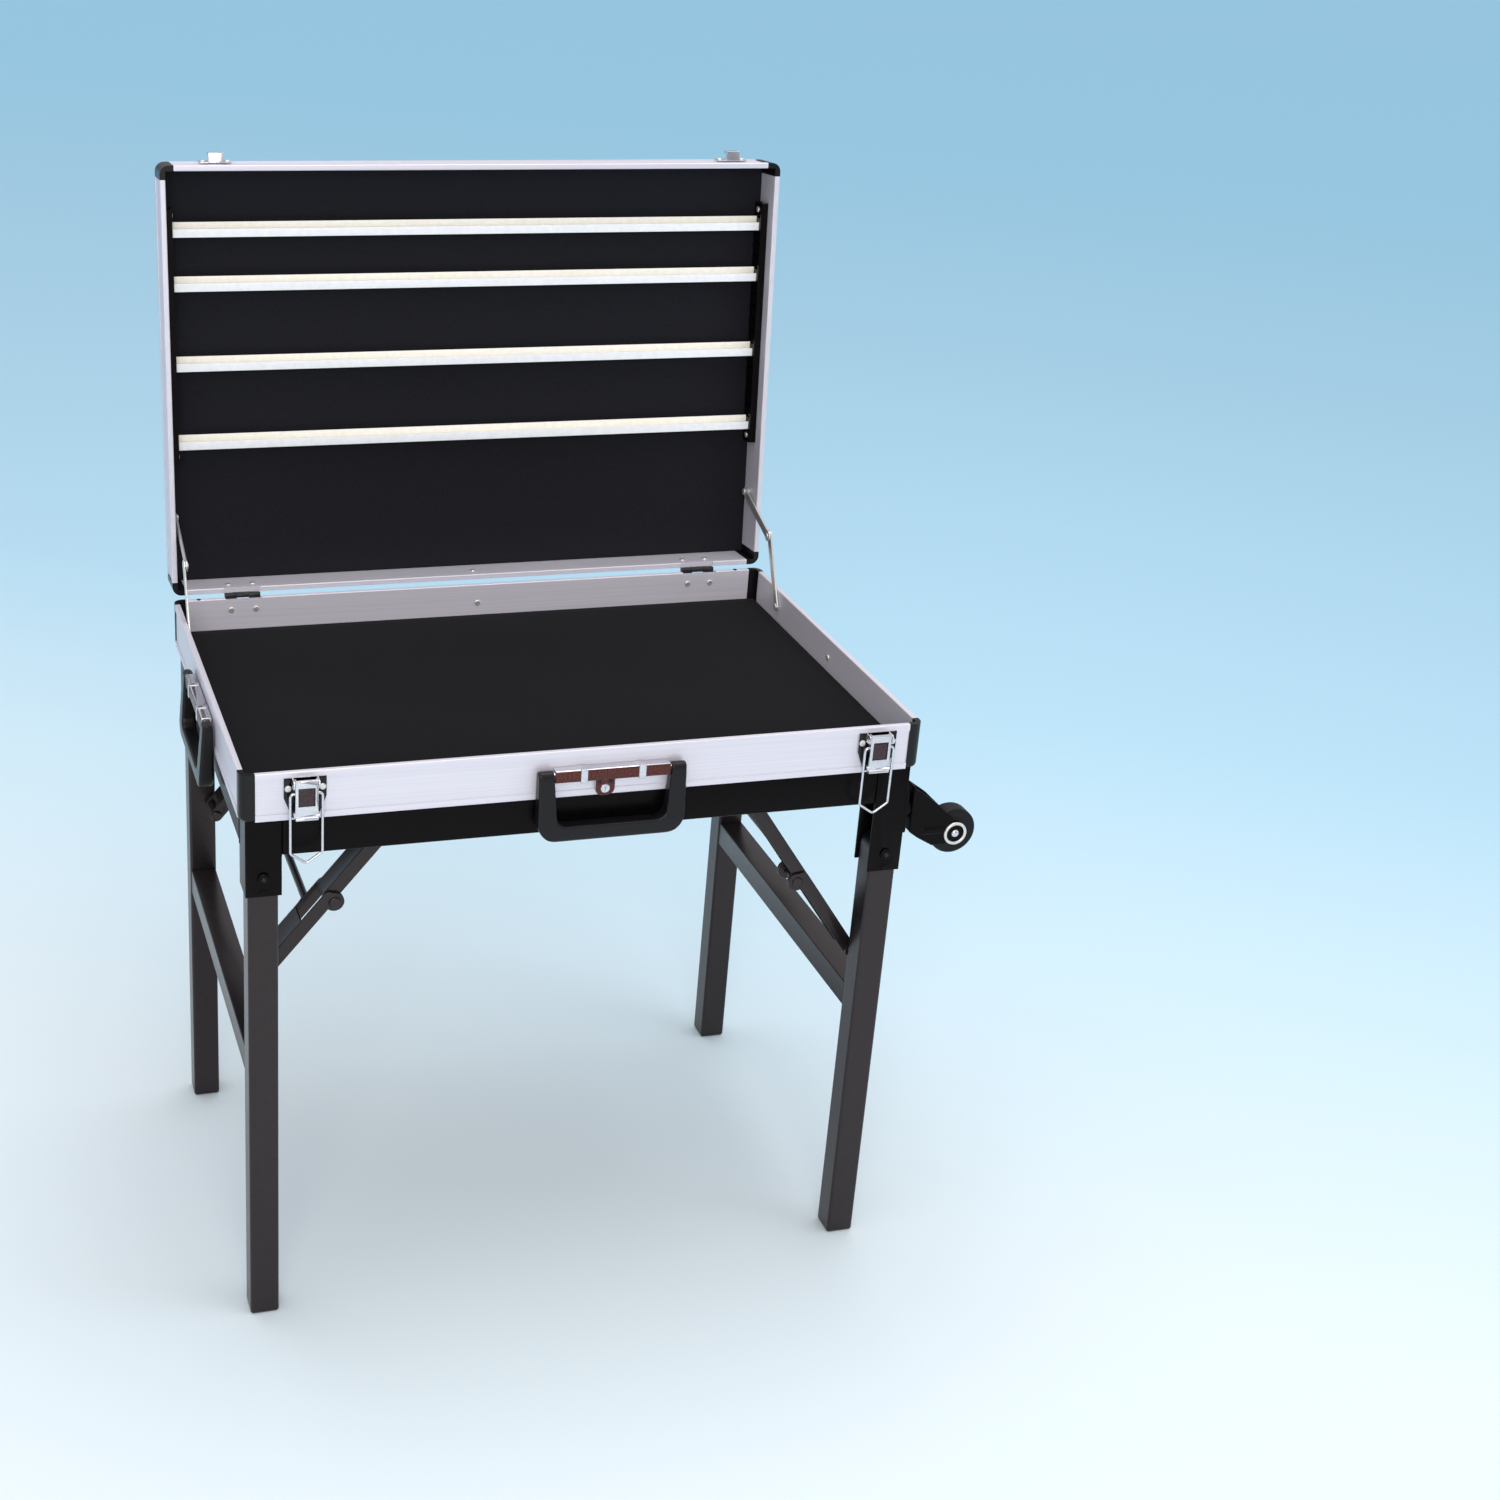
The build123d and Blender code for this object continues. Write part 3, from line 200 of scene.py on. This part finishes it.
# %% Felt
def black_felt(name, colours):
    """Felt between two near-black tones."""
    material, tree, shader = start_material(name, colours[1], 0.0, 0.95)
    shader.inputs["Sheen Weight"].default_value = 0.03
    shader.inputs["Sheen Roughness"].default_value = 0.45
    shader.inputs["Specular IOR Level"].default_value = 0.1
    clump = 1.2 * mm
    place = add_node(tree, "ShaderNodeTexCoord")
    fibres = add_node(tree, "ShaderNodeTexNoise", {
        "Vector": place.outputs["Object"], "Scale": 1 / clump,
        "Detail": 6.0, "Roughness": 0.7, "Distortion": 1.2,
    })
    vary_surface(tree, shader, fibres.outputs["Fac"], colours, (0.9, 1.0), 0.5, 0.4 * mm)
    return material


pad_felt = black_felt("needle-punched felt on the pad", ("#0B0C0F", "#15161A"))
lid_lining_felt = black_felt("needle-punched felt in the lid", ("#15161A", "#23242A"))

# %% [markdown]
# ## Black paint on steel
# The stand is stove-enamelled steel: black, glossy, with a shallow orange peel about 4 mm across that
# makes its highlights wander. Wear is only a slight dulling, so roughness varies and colour hardly does.
# The frame under the tray gets a deeper black with weaker highlights as painted shade, and the legs
# a greyer black with stronger highlights as painted light.


# %% Stove enamel
def black_enamel(name, colours, specular):
    """Black enamel with a chosen strength of highlight."""
    material, tree, shader = start_material(name, colours[1], 0.0, 0.3)
    shader.inputs["Specular IOR Level"].default_value = specular
    shader.inputs["Specular Tint"].default_value = linear("#FFEAE6")
    peel = 4 * mm
    place = add_node(tree, "ShaderNodeTexCoord")
    waves = add_node(tree, "ShaderNodeTexNoise", {
        "Vector": place.outputs["Object"], "Scale": 1 / peel, "Detail": 2.0,
    })
    vary_surface(tree, shader, waves.outputs["Fac"], colours, (0.24, 0.36), 0.10, 0.12 * mm)
    return material


# The frame's near-black with weak highlights is painted shade under the tray; the legs' grey-black with
# stronger highlights is painted light.
shaded_black_enamel = black_enamel("black stove enamel darkened as painted shade", ("#050506", "#080709"), 0.10)
lit_black_enamel = black_enamel("black stove enamel greyed as painted light", ("#121114", "#19171B"), 0.5)

# %% [markdown]
# ## Plated metals
# Latches and handle bars are chrome plate, bright and almost a mirror. Stays, rivets and hinges are
# nickel plate, a little warmer and softer. Some faces get dark colours that stand for light: a painted
# dark reflection on the latch plates, painted shade in the lever windows and on the hinge knuckles,
# and a painted red-brown reflection on the handle bars and the lock face. All keep polishing marks about 2 mm
# apart.


# %% Chrome and nickel
def plated_metal(name, colours, roughness, metallic):
    """Plated or lacquered metal with fine polishing marks."""
    material, tree, shader = start_material(name, colours[1], metallic, roughness[0])
    polish = 2 * mm
    place = add_node(tree, "ShaderNodeTexCoord")
    marks = add_node(tree, "ShaderNodeTexNoise", {
        "Vector": place.outputs["Object"], "Scale": 1 / polish, "Detail": 4.0,
    })
    vary_surface(tree, shader, marks.outputs["Fac"], colours, roughness, 0.05, 0.03 * mm)
    return material


chrome = plated_metal("chrome plate", ("#C4C5CB", "#DCDDE2"), (0.10, 0.18), 0.9)
nickel = plated_metal("nickel plate", ("#CFCECB", "#E6E5E2"), (0.28, 0.38), 0.7)
# This dark steel is painted shade on the hinge knuckles, which sit in shadow in their slots.
knuckle_painted_shade = plated_metal("dark steel, painted shade on the hinge knuckles", ("#1B1B1E", "#2A2A2D"), (0.3, 0.4), 0.5)
# Red-brown here is a painted reflection on chrome, not a lacquer.
painted_reflection_brown = plated_metal("chrome with a painted red-brown reflection", ("#3A130F", "#5E2418"), (0.22, 0.34), 0.3)
# Dark plum here is painted shade in the lever windows, not a lacquer.
window_painted_shade = plated_metal("dark plum plate, painted shade in the lever window", ("#2A1A20", "#3A262C"), (0.22, 0.34), 0.2)
# Black plate on the bolt centres and lock studs; on the chrome latch plates the same colour is a painted dark
# reflection.
black_plate_and_dark_reflection = plated_metal("black-plated steel", ("#0E0C10", "#1A161B"), (0.14, 0.24), 0.4)

# %% [markdown]
# ## Moulded plastic, rubber and paint
# Grips, corner posts and wheel hubs are injection-moulded ABS with a satin skin: fine spark-eroded
# grain, drawn 1 mm wide. The castor tyres are polyurethane rubber, which is duller. The card bars'
# enamel and the faced fibreboard have the same kind of skin at a coarser scale.


# %% Plastic, rubber and paint
def moulded(name, colours, roughness, grain, specular=0.5):
    """A skin with an even grain of a given width."""
    material, tree, shader = start_material(name, colours[1], 0.0, roughness[0])
    shader.inputs["Specular IOR Level"].default_value = specular
    place = add_node(tree, "ShaderNodeTexCoord")
    skin = add_node(tree, "ShaderNodeTexNoise", {
        "Vector": place.outputs["Object"], "Scale": 1 / grain, "Detail": 3.0,
    })
    vary_surface(tree, shader, skin.outputs["Fac"], colours, roughness, 0.12, 0.05 * mm)
    return material


satin_plastic = moulded("satin moulded ABS", ("#0E0E10", "#151417"), (0.26, 0.36), 1.0 * mm, 0.25)
tyre_rubber = moulded("polyurethane tyre rubber", ("#0C0C0E", "#131215"), (0.32, 0.45), 2.0 * mm, 0.2)
cream_paint = moulded("cream enamel", ("#F3F1E6", "#FBFAF2"), (0.28, 0.4), 6.0 * mm)
# The cool white is painted light on the front-facing lips of the cream card bars.
lip_painted_light = moulded("cool white, painted light on the card bar lips", ("#E8EEF2", "#F1F6F9"), (0.28, 0.4), 6.0 * mm)
fibreboard = moulded("dark faced fibreboard", ("#1A191A", "#262425"), (0.6, 0.8), 3.0 * mm)

# %% [markdown]
# ## Dressing the solids
# Every solid gets its finish here. Pressed parts never have knife edges, so most get a copy with a
# small bevel, which catches the light along an edge. The grips and castor forks are rounder, so their
# copies are remeshed and smoothed. Walls, posts and legs keep their own shape.


# %% Copies of solids
def wear(obj, material):
    """Gives an object one finish all over."""
    obj.data.materials.clear()
    obj.data.materials.append(material)


def add_piece(name, work, material, body):
    """Makes a finished bmesh an object that rides on a body."""
    for face in work.faces:
        face.smooth = True
    mesh = bpy.data.meshes.new(name)
    work.to_mesh(mesh)
    work.free()
    piece = bpy.data.objects.new(name, mesh)
    bpy.context.scene.collection.objects.link(piece)
    wear(piece, material)
    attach(piece, body)
    return piece


weld_distance = 0.002 * mm
flat_angle = math.radians(0.4)
sharp_angle = math.radians(38)


def solid_copy(name):
    """A clean bmesh of a solid: its loose triangles joined and its flat faces made whole."""
    work = bmesh.new()
    work.from_mesh(nodes[name].data)
    bmesh.ops.remove_doubles(work, verts=work.verts, dist=weld_distance)
    bmesh.ops.dissolve_limit(work, angle_limit=flat_angle, verts=work.verts, edges=work.edges)
    return work


def rounded_copy(name, radius, material):
    """Stands a bevelled copy in for a solid."""
    piece = add_piece(name + "_finished", solid_copy(name), material, body_of[name])
    bevel = piece.modifiers.new("edge", "BEVEL")
    bevel.limit_method = "ANGLE"
    bevel.angle_limit = sharp_angle
    bevel.width = radius
    bevel.segments = 3
    bevel.use_clamp_overlap = False
    bevel.harden_normals = True
    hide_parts(name)
    return piece


def moulded_copy(name, grain, passes, material):
    """Stands a softly rounded copy in for a solid: an even skin of small faces, then smoothed."""
    piece = add_piece(name + "_moulded", solid_copy(name), material, body_of[name])
    skin = piece.modifiers.new("skin", "REMESH")
    skin.mode = "VOXEL"
    skin.voxel_size = grain
    skin.use_smooth_shade = True
    soften = piece.modifiers.new("soften", "SMOOTH")
    soften.factor = 0.5
    soften.iterations = passes
    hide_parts(name)
    return piece


def paint(piece, material, chosen):
    """Gives another finish to the faces that a test picks by their middle and normal."""
    piece.data.materials.append(material)
    picked = [face for face in piece.data.polygons if chosen(face.center, face.normal)]
    for face in picked:
        face.material_index = len(piece.data.materials) - 1
    print(piece.name, "faces painted:", len(picked))


# %% Finishes of the solids
edge_rounding = {
    "underframe": (2.0 * mm, shaded_black_enamel),
    "crossbar_left": (1.2 * mm, lit_black_enamel),
    "crossbar_right": (1.2 * mm, lit_black_enamel),
    "leg_brackets": (0.5 * mm, shaded_black_enamel),
    "brace_upper_left": (0.5 * mm, lit_black_enamel),
    "brace_upper_right": (0.5 * mm, lit_black_enamel),
    "brace_lower_left": (0.5 * mm, lit_black_enamel),
    "brace_lower_right": (0.5 * mm, lit_black_enamel),
    "castor_plates": (0.6 * mm, shaded_black_enamel),
    "leg_bolts": (0.8 * mm, shaded_black_enamel),
    "handle_bases": (0.5 * mm, chrome),
    "lock_body": (0.8 * mm, chrome),
    "lock_plug": (0.4 * mm, chrome),
    "latch_bases": (0.3 * mm, chrome),
    "latch_lever_left": (0.5 * mm, chrome),
    "latch_lever_right": (0.5 * mm, chrome),
    "latch_catches": (0.4 * mm, chrome),
    "lid_stay_upper_left": (0.4 * mm, nickel),
    "lid_stay_upper_right": (0.4 * mm, nickel),
    "lid_stay_lower_left": (0.4 * mm, nickel),
    "lid_stay_lower_right": (0.4 * mm, nickel),
    "hinge_leaves_tray": (0.2 * mm, nickel),
    "hinge_leaves_lid": (0.2 * mm, nickel),
    "castor_hub_front": (0.5 * mm, satin_plastic),
    "castor_hub_rear": (0.5 * mm, satin_plastic),
    "card_bar_1": (0.3 * mm, cream_paint),
    "card_bar_2": (0.3 * mm, cream_paint),
    "card_bar_3": (0.3 * mm, cream_paint),
    "card_bar_4": (0.3 * mm, cream_paint),
}
finished = {name: rounded_copy(name, radius, material) for name, (radius, material) in edge_rounding.items()}

moulded_solids = {
    "front_handle_grip": (1.2 * mm, 8, satin_plastic),
    "side_handle_grip": (1.2 * mm, 8, satin_plastic),
    "castor_fork_front": (0.8 * mm, 3, shaded_black_enamel),
    "castor_fork_rear": (0.8 * mm, 3, shaded_black_enamel),
}
for name, (grain, passes, material) in moulded_solids.items():
    finished[name] = moulded_copy(name, grain, passes, material)

plain_finish = {
    aluminium_x: ("tray_front_wall", "tray_rear_wall", "lid_front_wall", "lid_rear_wall"),
    aluminium_y: ("tray_left_wall", "tray_right_wall"),
    aluminium_z: ("lid_left_wall", "lid_right_wall"),
    satin_plastic: ("tray_corner_posts", "lid_corner_posts"),
    fibreboard: ("tray_base_board", "lid_back_panel"),
    lit_black_enamel: (
        "leg_front_left", "leg_front_right", "leg_rear_left", "leg_rear_right", "feet_left", "feet_right",
    ),
    # The card uprights wear the enamel that is darkened as painted shade.
    shaded_black_enamel: ("card_uprights",),
    nickel: ("tray_rivets", "lid_rivets"),
    chrome: ("latch_bail_left", "latch_bail_right"),
    tyre_rubber: ("castor_tyre_front", "castor_tyre_rear"),
}
for material, names in plain_finish.items():
    for name in names:
        wear(nodes[name], material)
print("finished solids:", len(finished) + sum(len(names) for names in plain_finish.values()))

# %% [markdown]
# ## Second colours: painted light and shade
# Some pieces wear two colours. The handle bars get a painted red-brown reflection between their bright
# straps, the latch plates a painted dark reflection behind bright rivets, the hinge knuckles painted
# shade, and the front-facing low lip of each card bar a cooler white than its back, which is painted
# light. The faces are picked by where they are.

# %% Paint by place
strap_reach = 34 * mm
strap_half = 4.2 * mm
front_handle_x = 16 * mm
side_handle_y = 0
front_bar_face = -240 * mm
side_bar_face = -355 * mm
latch_plate_face = -238 * mm
outward = -0.8
straight_out = -0.9


def on_bar_reflection_segment(centre, normal):
    """The front faces of the two handle bars, except on their straps; these get the painted red-brown
    reflection.
    """
    if normal.y < outward and centre.y < front_bar_face:
        along = abs(centre.x - front_handle_x)
    elif normal.x < outward and centre.x < side_bar_face:
        along = abs(centre.y - side_handle_y)
    else:
        return False
    return not (strap_reach - 2 * strap_half < along < strap_reach)


def on_latch_plate_reflection(centre, normal):
    """The front faces of the latch plates, behind their rivets; these get a painted dark reflection."""
    return normal.y < straight_out and centre.y > latch_plate_face


# The red-brown on the handle bars and on the lock's front face is a painted reflection on chrome.
paint(finished["handle_bases"], painted_reflection_brown, on_bar_reflection_segment)
paint(finished["lock_body"], painted_reflection_brown, lambda centre, normal: normal.y < straight_out)
# The latch plates' dark front faces are a painted dark reflection on chrome.
paint(finished["latch_bases"], black_plate_and_dark_reflection, on_latch_plate_reflection)
hinge_line = Vector((0, 238, 630.3)) * mm
knuckle_reach = 3.4 * mm


def on_shaded_knuckle(centre, normal):
    """The rolled part of a hinge half, round its pin, which is painted dark as shade."""
    return math.hypot(centre.y - hinge_line.y, centre.z - hinge_line.z) < knuckle_reach


# The dark hinge knuckles are painted shade in the hinge slots.
for name in ("hinge_leaves_tray", "hinge_leaves_lid"):
    paint(finished[name], knuckle_painted_shade, on_shaded_knuckle)
# The cooler white on the front-facing lip of each card bar is painted light.
lip_depth = 4 * mm
for number in (1, 2, 3, 4):
    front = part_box(f"card_bar_{number}")[0].y
    paint(finished[f"card_bar_{number}"], lip_painted_light,
          lambda centre, normal, front=front: normal.y < outward and centre.y < front + lip_depth)

# %% [markdown]
# ## Small fittings
# Bolt centres, castor rings, axle caps, latch windows, lock studs and rim buffers are too small for
# the solids. Each round one is turned like on a lathe: its half profile is spun round an axis. The
# window of a latch lever is a thin crowned plate in dark plum, which is painted shade in the window.
# The bright nickel castor rings are a painted highlight for the glint on each hub. All sizes and places here
# are in millimetres.


# %% Turned and pressed fittings
def turned_fitting(name, place, direction, profile, material, body, steps=32):
    """Spins a closed profile of (radius, height) points in mm about a direction at a place in mm."""
    work = bmesh.new()
    rim = [work.verts.new((radius * mm, 0, height * mm)) for radius, height in profile]
    edges = [work.edges.new((a, b)) for a, b in zip(rim, rim[1:])]
    if profile[0][0] > 0:
        edges.append(work.edges.new((rim[-1], rim[0])))
    bmesh.ops.spin(
        work, geom=rim + edges, cent=(0, 0, 0), axis=(0, 0, 1), angle=math.tau, steps=steps, use_merge=True,
    )
    bmesh.ops.remove_doubles(work, verts=work.verts, dist=0.001 * mm)
    bmesh.ops.recalc_face_normals(work, faces=work.faces)
    turn = Vector(direction).to_track_quat("Z", "Y").to_matrix().to_4x4()
    bmesh.ops.transform(work, matrix=Matrix.Translation(Vector(place) * mm) @ turn, verts=work.verts)
    return add_piece(name, work, material, body)


def crowned_plate(name, middle, width, height, thickness, crown, material, body):
    """A small plate that faces the front, with its middle standing proud of its edges."""
    work = bmesh.new()
    bmesh.ops.create_grid(work, x_segments=8, y_segments=8, size=0.5)
    for vert in work.verts:
        u, v = vert.co.x * 2, vert.co.y * 2
        vert.co = Vector((u * width / 2, -crown * (1 - u * u) * (1 - v * v), v * height / 2)) * mm
    bmesh.ops.recalc_face_normals(work, faces=work.faces)
    bmesh.ops.solidify(work, geom=work.faces[:], thickness=thickness * mm)
    bmesh.ops.recalc_face_normals(work, faces=work.faces)
    bmesh.ops.translate(work, vec=Vector(middle) * mm, verts=work.verts)
    return add_piece(name, work, material, body)


sides = ((-1, "left"), (1, "right"))
rows = ((-1, "front"), (1, "rear"))

button = [(0, 1.0), (1.4, 0.95), (2.2, 0.6), (2.6, 0.0), (2.6, -0.6), (0, -0.6)]
bolt_x = 326.5
bolt_y = 232.0
bolt_heights = {"left": 517.0, "right": 480.5}
for side, name in sides:
    for end, row in rows:
        spot = (side * bolt_x, end * bolt_y, bolt_heights[name])
        turned_fitting(f"bolt_centre_{row}_{name}", spot, (0, end, 0), button, black_plate_and_dark_reflection, "case")

# The nickel rings are a painted highlight: they stand for the glint on each castor hub.
hub_glint_ring = [(9.6, 0.0), (9.9, 0.9), (11.4, 1.3), (12.6, 0.8), (12.9, 0.0), (12.9, -0.6), (9.6, -0.6)]
axle_cap = [(0, 2.2), (2.4, 1.9), (4.0, 1.0), (4.4, 0.0), (4.4, -0.8), (0, -0.8)]
axle_x = 406.0
axle_y = 211.5
axle_height = 495.5
glint_ring_seat = 15.2
cap_seat = 15.0
for end, row in rows:
    fork = f"castor_swivel_{row}"
    for face, where in ((-1, "near"), (1, "far")):
        spot = (axle_x, end * axle_y + face * glint_ring_seat, axle_height)
        turned_fitting(f"castor_glint_ring_{row}_{where}", spot, (0, face, 0), hub_glint_ring, nickel, fork, 48)
        spot = (axle_x, end * axle_y + face * cap_seat, axle_height)
        turned_fitting(f"axle_cap_{row}_{where}", spot, (0, face, 0), axle_cap, chrome, fork)

latch_middle_x = 6.0
latch_reach = 293.5
window_y = -244.4
window_height = 607.5
window_wide, window_tall = 15.9, 18.9
plate_thickness = 0.6
plate_crown = 0.5
# The dark plum window plates are painted shade in each lever's window.
for side, name in sides:
    spot = (latch_middle_x + side * latch_reach, window_y, window_height)
    crowned_plate(
        f"latch_window_{name}", spot, window_wide, window_tall, plate_thickness, plate_crown,
        window_painted_shade, f"lever_{name}",
    )

stud = [(0, 0.7), (1.2, 0.6), (2.0, 0.2), (2.2, -0.3), (0, -0.3)]
lock_x = 10
lock_face = -240.0
lock_height = 596.5
stud_reach = 5.5
for side, name in sides:
    spot = (lock_x + side * stud_reach, lock_face, lock_height)
    turned_fitting(f"lock_stud_{name}", spot, (0, -1, 0), stud, black_plate_and_dark_reflection, "case", 20)

buffer = [(0, 0.35), (2.0, 0.35), (2.5, 0.15), (2.6, -0.3), (0, -0.3)]
rim_y = 231.8
rim_height = 630.0
for x, name in ((-322, "left"), (318, "right")):
    spot = (x, rim_y, rim_height)
    turned_fitting(f"rim_buffer_{name}", spot, (0, 0, 1), buffer, tyre_rubber, "case", 24)

# %% [markdown]
# ## Felt linings
# The tray's felt is wrapped over a foam pad, so its edges turn down softly and its top is never quite
# flat. The lid's felt is glued to the back panel and lies flat. Each starts as a box, gets round edges
# and is cut into a fine mesh. The tray's felt then gets a slow ripple under a millimetre high.


# %% Linings
cut_spacing = 12 * mm
ripple_margin = 30 * mm


def lining(name, replaces, roll_radius, ripple, material, thin_axis):
    """A felt lining in place of its plain solid, with rolled edges and a slow ripple."""
    work = solid_copy(replaces)
    bmesh.ops.bevel(
        work, geom=list(work.edges), offset=roll_radius, segments=4, profile=0.5, affect="EDGES", material=-1,
    )
    low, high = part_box(replaces)
    spread = Vector(high) - Vector(low)
    middle = (low + high) / 2
    flat_axes = [axis for axis in range(3) if axis != thin_axis]
    for axis in flat_axes:
        count = int(spread[axis] / cut_spacing)
        normal = Vector([float(i == axis) for i in range(3)])
        for i in range(1, count):
            cut = low + normal * (spread[axis] * i / count)
            everything = work.verts[:] + work.edges[:] + work.faces[:]
            bmesh.ops.bisect_plane(work, geom=everything, plane_co=cut, plane_no=normal)
    up = Vector([float(i == thin_axis) for i in range(3)])
    for vert in work.verts:
        u, v = vert.co[flat_axes[0]], vert.co[flat_axes[1]]
        wave = math.sin(u * 17 + 1.3 * math.sin(v * 11)) * math.sin(v * 23 + 0.9 * math.sin(u * 7))
        near = min(
            vert.co[axis] - low[axis] if vert.co[axis] < middle[axis] else high[axis] - vert.co[axis]
            for axis in flat_axes
        )
        fade = min(1, max(0, near / ripple_margin))
        vert.co -= up * (ripple * fade * (0.5 + 0.5 * wave))
    piece = add_piece(name, work, material, body_of[replaces])
    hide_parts(replaces)
    return piece


tray_felt = lining("tray_felt", "tray_felt_pad", 2.5 * mm, 0.8 * mm, pad_felt, 2)
lid_felt = lining("lid_felt", "lid_felt_lining", 0.5 * mm, 0.0, lid_lining_felt, 1)
print("felt faces:", len(tray_felt.data.polygons), len(lid_felt.data.polygons))

# %% [markdown]
# ## Light
# The case is lit by a large soft lamp behind the camera, a little to its left, and a broad one above.
# Soft means large, so both are area lamps of nearly two metres or more. A weak one at the right keeps
# the far side readable.


# %% Lamps
def area_lamp(name, place, target, size, power, colour):
    """A soft rectangular lamp at a place in metres, aimed at a target."""
    data = bpy.data.lights.new(name, "AREA")
    data.shape = "RECTANGLE"
    data.size, data.size_y = size
    data.energy = power
    data.color = linear(colour)[:3]
    lamp = bpy.data.objects.new(name, data)
    bpy.context.scene.collection.objects.link(lamp)
    lamp.location = place
    lamp.rotation_euler = (Vector(target) - Vector(place)).to_track_quat("-Z", "Y").to_euler()


area_lamp("key", (-0.9, -3.4, 1.9), (0, 0, 0.65), (1.8, 1.8), 56, "#FFF5EC")
area_lamp("overhead", (0.3, 0.2, 3.2), (0, 0, 0.6), (2.6, 2.0), 36, "#FFF8F2")
area_lamp("fill", (2.8, -1.8, 1.4), (0, 0, 0.6), (1.2, 1.8), 10, "#F2F7FF")

# %% [markdown]
# ## Floor and surroundings
# A plain pale floor that reaches past the picture and turns bluer with distance, and a room that is
# bright above and darker near the horizon. The dark band gives the chrome and the enamel something to
# reflect.

# %% Floor and world
floor_material, floor_tree, floor_shader = start_material("pale studio floor", "#CDE5F0", 0.0, 0.7)
floor_turn = math.radians(35)
floor_scale = 0.1
floor_half = 30
floor_place = add_node(floor_tree, "ShaderNodeTexCoord")
towards_far_right = add_node(floor_tree, "ShaderNodeMapping", {
    "Vector": floor_place.outputs["Object"], "Rotation": (0, 0, floor_turn), "Scale": [floor_scale] * 3,
})
distance = add_node(floor_tree, "ShaderNodeSeparateXYZ", {"Vector": towards_far_right.outputs["Vector"]})
floor_ramp = add_node(floor_tree, "ShaderNodeValToRGB", {"Fac": distance.outputs["Y"]})
floor_ramp.color_ramp.elements[0].color = linear("#DBEAF0")
floor_ramp.color_ramp.elements[1].color = linear("#9CD8F2")
floor_ramp.color_ramp.elements[1].position = 0.75
for position, colour in ((0.06, "#CBE5F0"), (0.16, "#B3DDF0")):
    floor_ramp.color_ramp.elements.new(position).color = linear(colour)
floor_tree.links.new(floor_ramp.outputs["Color"], floor_shader.inputs["Base Color"])
floor_work = bmesh.new()
bmesh.ops.create_grid(floor_work, x_segments=4, y_segments=4, size=floor_half)
floor_mesh = bpy.data.meshes.new("floor")
floor_work.to_mesh(floor_mesh)
floor_work.free()
floor = bpy.data.objects.new("floor", floor_mesh)
bpy.context.scene.collection.objects.link(floor)
wear(floor, floor_material)

world = bpy.data.worlds.new("room")
bpy.context.scene.world = world
world.use_nodes = True
room = world.node_tree
looking = add_node(room, "ShaderNodeTexCoord")
height = add_node(room, "ShaderNodeSeparateXYZ", {"Vector": looking.outputs["Generated"]})
room_ramp = add_node(room, "ShaderNodeValToRGB", {"Fac": height.outputs["Z"]})
room_ramp.color_ramp.elements[0].color = linear("#85848C")
room_ramp.color_ramp.elements[1].color = linear("#F8F7FC")
room_ramp.color_ramp.elements[1].position = 0.75
room.links.new(room_ramp.outputs["Color"], room.nodes["Background"].inputs["Color"])
room.nodes["Background"].inputs["Strength"].default_value = 1.0
bpy.context.scene.view_settings.view_transform = "Standard"
